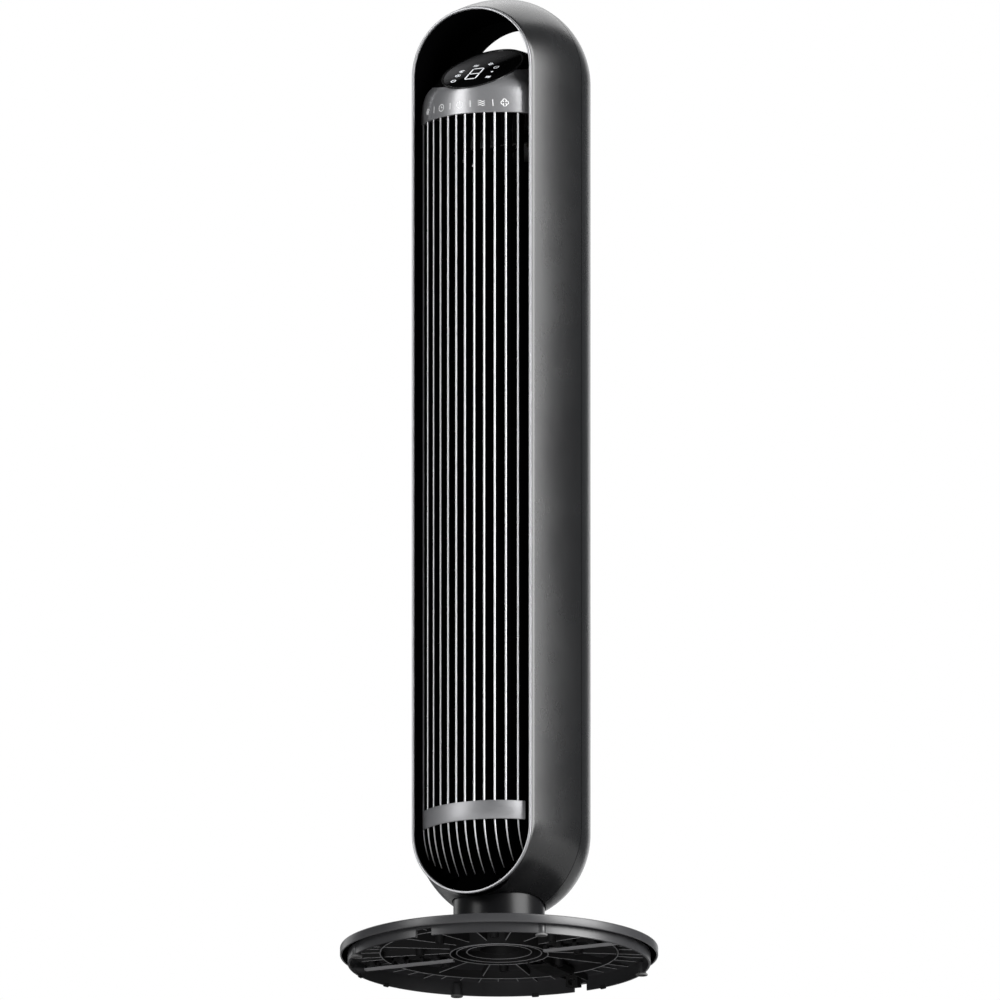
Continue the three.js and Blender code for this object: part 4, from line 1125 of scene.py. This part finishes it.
def hub_details():
    """Nested rings, clips and gussets under the neck."""
    shapes = [hoop(39.0, 40.6, 13.0, 29.0), hoop(29.5, 31.2, 14.0, 29.0), hoop(18.0, 19.4, 16.0, 32.4)]
    for k in range(8):
        shapes.append(moved(block(31.0, 39.2, -0.8, 0.8, 16.0, 28.6, 0.2), turn=22.5 + 45 * k))
    for k in range(4):
        shapes.append(moved(block(19.2, 29.8, -3.2, 3.2, 18.0, 20.4, 0.5), turn=90 * k))
    return shapes


def add_base():
    """The two base covers with their ribs, painted-highlight strips on the rib edges, a painted-shadow sheet
    under the rim, feet and posts.
    """
    x, half = NOTCH["x"], NOTCH["half_width"]
    notch = block(x - half, x + half, 128, 160, -5, NOTCH["high"], 1.2)
    wx, wy = polar(BASE["skirt_radius"], -94.0)
    window = block(wx - 8.5, wx + 8.5, wy - 6, wy + 3, -5, BASE["rim_low"] - 1, 0.8)
    rear = turned(base_section(), 128, 0.07, 179.93)
    front = turned(base_section(), 128, 180.07, 359.93)
    piece("base_cover_rear", rear, BASE_BLACK, "base", ["base_rear_half"], [notch], 25)
    piece("base_cover_front", front, BASE_BLACK, "base", ["base_front_half"], [window], 25)
    for name, side in (("base_ribs_rear", 1), ("base_ribs_front", -1)):
        shapes = half_ribs(side) + flange(-1, side) + flange(1, side)
        if side > 0:
            shapes += rear_tabs() + cord_channel()
        piece(name, merge(shapes), UNDER, "base")
        piece(name.replace("ribs", "rib_highlight_strips"), merge(rib_highlight_strips(side)), RIB_HIGHLIGHT, "base")
    piece("base_hub_rings", merge(hub_details()), UNDER, "base")
    # Painted highlights on the lower edges of the hub rings.
    edges = [ring_highlight(r, 0, 360, z) for r, z in ((39.8, 13.0), (30.3, 14.0))]
    piece("base_hub_highlights", merge(edges), RIB_HIGHLIGHT, "base")
    # A painted shadow: a thin near-black ring just under the rim's lip, standing in for the shade there.
    groove = hoop(BASE["skirt_radius"] + 0.05, BASE["rim_radius"] - 1.75, BASE["rim_low"] + 2.25,
                  BASE["rim_low"] + 2.38, 0.02)
    piece("rim_shadow_sheet", groove, DEEP, "base")
    names = ["foot_rear_right", "foot_rear_left", "foot_front_left", "foot_front_right"]
    for name, (fx, fy) in zip(names, foot_spots()):
        pad = turned([(0, 0), (4.6, 0), (5.3, 0.15), (5.7, 0.6), (5.7, 1.4), (5.4, 1.9), (0, 1.9)], 64)
        ring = hoop(2.0, 2.8, -0.0, 0.25, 0.08, 48)
        piece("pad_" + name, moved(merge([pad, ring]), fx, fy), PAD_GREY, "base", [name])
    posts = [moved(disc(4.3, 1.95, 12.5, 0.3, 48), fx, fy) for fx, fy in foot_spots()]
    piece("foot_posts", merge(posts), BASE_BLACK, "base")


def add_neck():
    """The hollow neck with its groove, shoulder and swivel post."""
    radius, low, high = NECK["radius"], NECK["low"], NECK["high"]
    section = [(12, low + 3), (12, low), (radius - 0.4, low), (radius, low + 0.4), (radius, low + 3.0),
               (radius - 0.35, low + 3.3), (radius - 0.35, low + 3.9), (radius, low + 4.2),
               (radius, high - 1.2), (radius - 0.4, high - 0.3), (radius - 1.2, high),
               (NECK["shoulder"], high), (NECK["shoulder"], 87.7), (NECK["post"], 87.7),
               (NECK["post"], NECK["post_high"]),
               (NECK["hole"], NECK["post_high"]), (NECK["hole"], high - 3), (radius - 3, high - 3),
               (radius - 3, low + 3)]
    piece("neck_stem", turned(section, 160), NECK_BLACK, "base", ["neck_column"], angle=40)


def cross_screw(head, shank, length):
    """A dished screw head with a cross recess, its seat at z = 0 and its shank below."""
    profile = [(0, -length), (shank * 0.6, -length), (shank, -length + 1.5), (shank, 0), (head, 0),
               (head, 0.9), (head * 0.92, 1.5), (head * 0.7, 2.0), (head * 0.35, 2.3), (0, 2.4)]
    return turned(profile, 48)


def cross_recess(head):
    """Two crossed bars to cut into a screw head."""
    size, width = head * 0.62, head * 0.2
    return [block(-size, size, -width, width, 1.1, 4, 0.05), block(-width, width, -size, size, 1.1, 4, 0.05)]


def facing_rear(x, y, z, shape):
    """The shape's own +Z turned to face +Y, then moved into place."""
    return [(px + x, pz + y, -py + z) for px, py, pz in shape[0]], shape[1]


def facing_down(x, y, z, shape):
    """The shape's own +Z turned to face -Z, then moved into place."""
    return [(px + x, -py + y, z - pz) for px, py, pz in shape[0]], shape[1]


def add_screw(name, stands_for, body, place, head, shank, length):
    """A cross-recess screw, put where the place function puts a shape."""
    cuts = [place(shape) for shape in cross_recess(head)]
    piece(name, place(cross_screw(head, shank, length)), STEEL, body, [stands_for], cuts)


def add_screws():
    """Six casing screws and four neck screws."""
    for k, (x, z) in enumerate(screw_spots(), 1):
        place = partial(facing_rear, x, SCREWS["seat_y"], z)
        add_screw(f"rear_screw_{k}", f"shell_screw_{k}", "tower", place, 3.6, 1.6, 16)
    for k, degrees in enumerate((45, 135, 225, 315), 1):
        place = partial(facing_down, *polar(36.0, degrees), 28.1)
        add_screw(f"under_screw_{k}", f"neck_screw_{k}", "base", place, 4.0, 1.7, 14)


def dress_cad_nodes():
    """Finishes for the CAD nodes that are shown as they are."""
    finishes = {
        GEAR_BLACK: ("fixed_swing_gear", "swivel_bearing_ring", "swing_pinion"),
        RUBBER: ("cord_gland", "wheel_hub"),
        BOARD: ("display_board", "touch_board", "power_board"),
        STEEL: ("swing_motor", "fan_motor", "drive_shaft", "top_pivot"),
        DEEP: ("turntable", "motor_mount", "upper_bearing_holder", "duct_scroll", "duct_tongue"),
        BRASS: ("upper_bearing_bush",),
    }
    for material, names in finishes.items():
        for name in names:
            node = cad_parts[name]
            for k in range(len(node.material_slots)):
                node.material_slots[k].material = material


# ---------------------------------------------------------------- studio


def add_camera():
    """A parallel view from the front right and a little below."""
    a, e = math.radians(CAMERA_AZIMUTH), math.radians(CAMERA_ELEVATION)
    back = Vector((math.sin(a) * math.cos(e), -math.cos(a) * math.cos(e), math.sin(e)))
    right = Vector((math.cos(a), math.sin(a), 0))
    data = bpy.data.cameras.new("camera")
    data.type = "ORTHO"
    data.ortho_scale = PHOTO_WIDTH
    camera = bpy.data.objects.new("camera", data)
    camera.location = Vector((0, 0, AIM_HEIGHT)) + right * AIM_RIGHT + back * CAMERA_DISTANCE
    camera.rotation_mode = "QUATERNION"
    camera.rotation_quaternion = (-back).to_track_quat("-Z", "Y")
    bpy.context.scene.collection.objects.link(camera)
    bpy.context.scene.camera = camera


def add_softbox(name, azimuth, size, brightness, distance=1.9, height=0.95, aim=0.45):
    """A rectangular light of an even brightness, aimed at a height on the axis. Its azimuth counts as the
    camera's does."""
    a = math.radians(azimuth)
    data = bpy.data.lights.new(name, "AREA")
    data.shape = "RECTANGLE"
    data.size, data.size_y = size
    data.energy = brightness * math.pi * size[0] * size[1]
    lamp = bpy.data.objects.new(name, data)
    lamp.location = (math.sin(a) * distance, -math.cos(a) * distance, height)
    lamp.rotation_mode = "QUATERNION"
    lamp.rotation_quaternion = (Vector((0, 0, aim)) - lamp.location).to_track_quat("-Z", "Y")
    bpy.context.scene.collection.objects.link(lamp)


def add_world():
    """White to the eye, and a dimmer even light to everything else."""
    world = bpy.data.worlds.new("studio")
    bpy.context.scene.world = world
    world.use_nodes = True
    nodes, links = world.node_tree.nodes, world.node_tree.links
    light = nodes["Background"]
    light.inputs["Color"].default_value = (0.93, 0.96, 1.0, 1)
    light.inputs["Strength"].default_value = 0.14
    seen = nodes.new("ShaderNodeBackground")
    seen.inputs["Color"].default_value = (1, 1, 1, 1)
    choose = nodes.new("ShaderNodeMixShader")
    links.new(nodes.new("ShaderNodeLightPath").outputs["Is Camera Ray"], choose.inputs["Fac"])
    links.new(light.outputs["Background"], choose.inputs[1])
    links.new(seen.outputs["Background"], choose.inputs[2])
    links.new(choose.outputs["Shader"], nodes["World Output"].inputs["Surface"])


def add_floor():
    """The studio's floor, which casts no shadow."""
    size = 2.6
    mesh = bpy.data.meshes.new("studio_floor")
    corners = [(-size, -size, 0), (size, -size, 0), (size, size, 0), (-size, size, 0)]
    mesh.from_pydata(corners, [], [(0, 1, 2, 3)])
    floor = bpy.data.objects.new("studio_floor", mesh)
    mesh.materials.append(pale_floor())
    floor.visible_shadow = False
    bpy.context.scene.collection.objects.link(floor)


def add_studio():
    """The camera, the surroundings and six soft lights."""
    add_camera()
    add_world()
    add_floor()
    add_softbox("side_key", azimuth=83, size=(1.35, 2.2), brightness=7.5, distance=1.7)
    add_softbox("left_front", azimuth=-33, size=(0.62, 2.2), brightness=3.5)
    add_softbox("left_rear", azimuth=-115, size=(0.8, 2.2), brightness=1.0)
    add_softbox("rear", azimuth=195, size=(1.2, 2.2), brightness=1.0)
    add_softbox("rear_high", azimuth=190, size=(1.5, 1.0), brightness=1.7, distance=1.3, height=2.3, aim=0.9)
    add_softbox("under_front", azimuth=10, size=(1.0, 1.0), brightness=3.0, distance=1.1, height=-0.8,
                aim=0.0)
    bpy.context.scene.view_settings.view_transform = "Standard"


add_studio()
add_front_shell()
add_rear_shell()
add_front_ring()
add_tunnel()
add_handle_collar()
add_grille()
add_shade_baffle()
add_band()
add_pod()
add_display()
add_pod_symbols()
add_display_signs()
add_intake()
add_wheel()
add_base()
add_neck()
add_screws()
dress_cad_nodes()
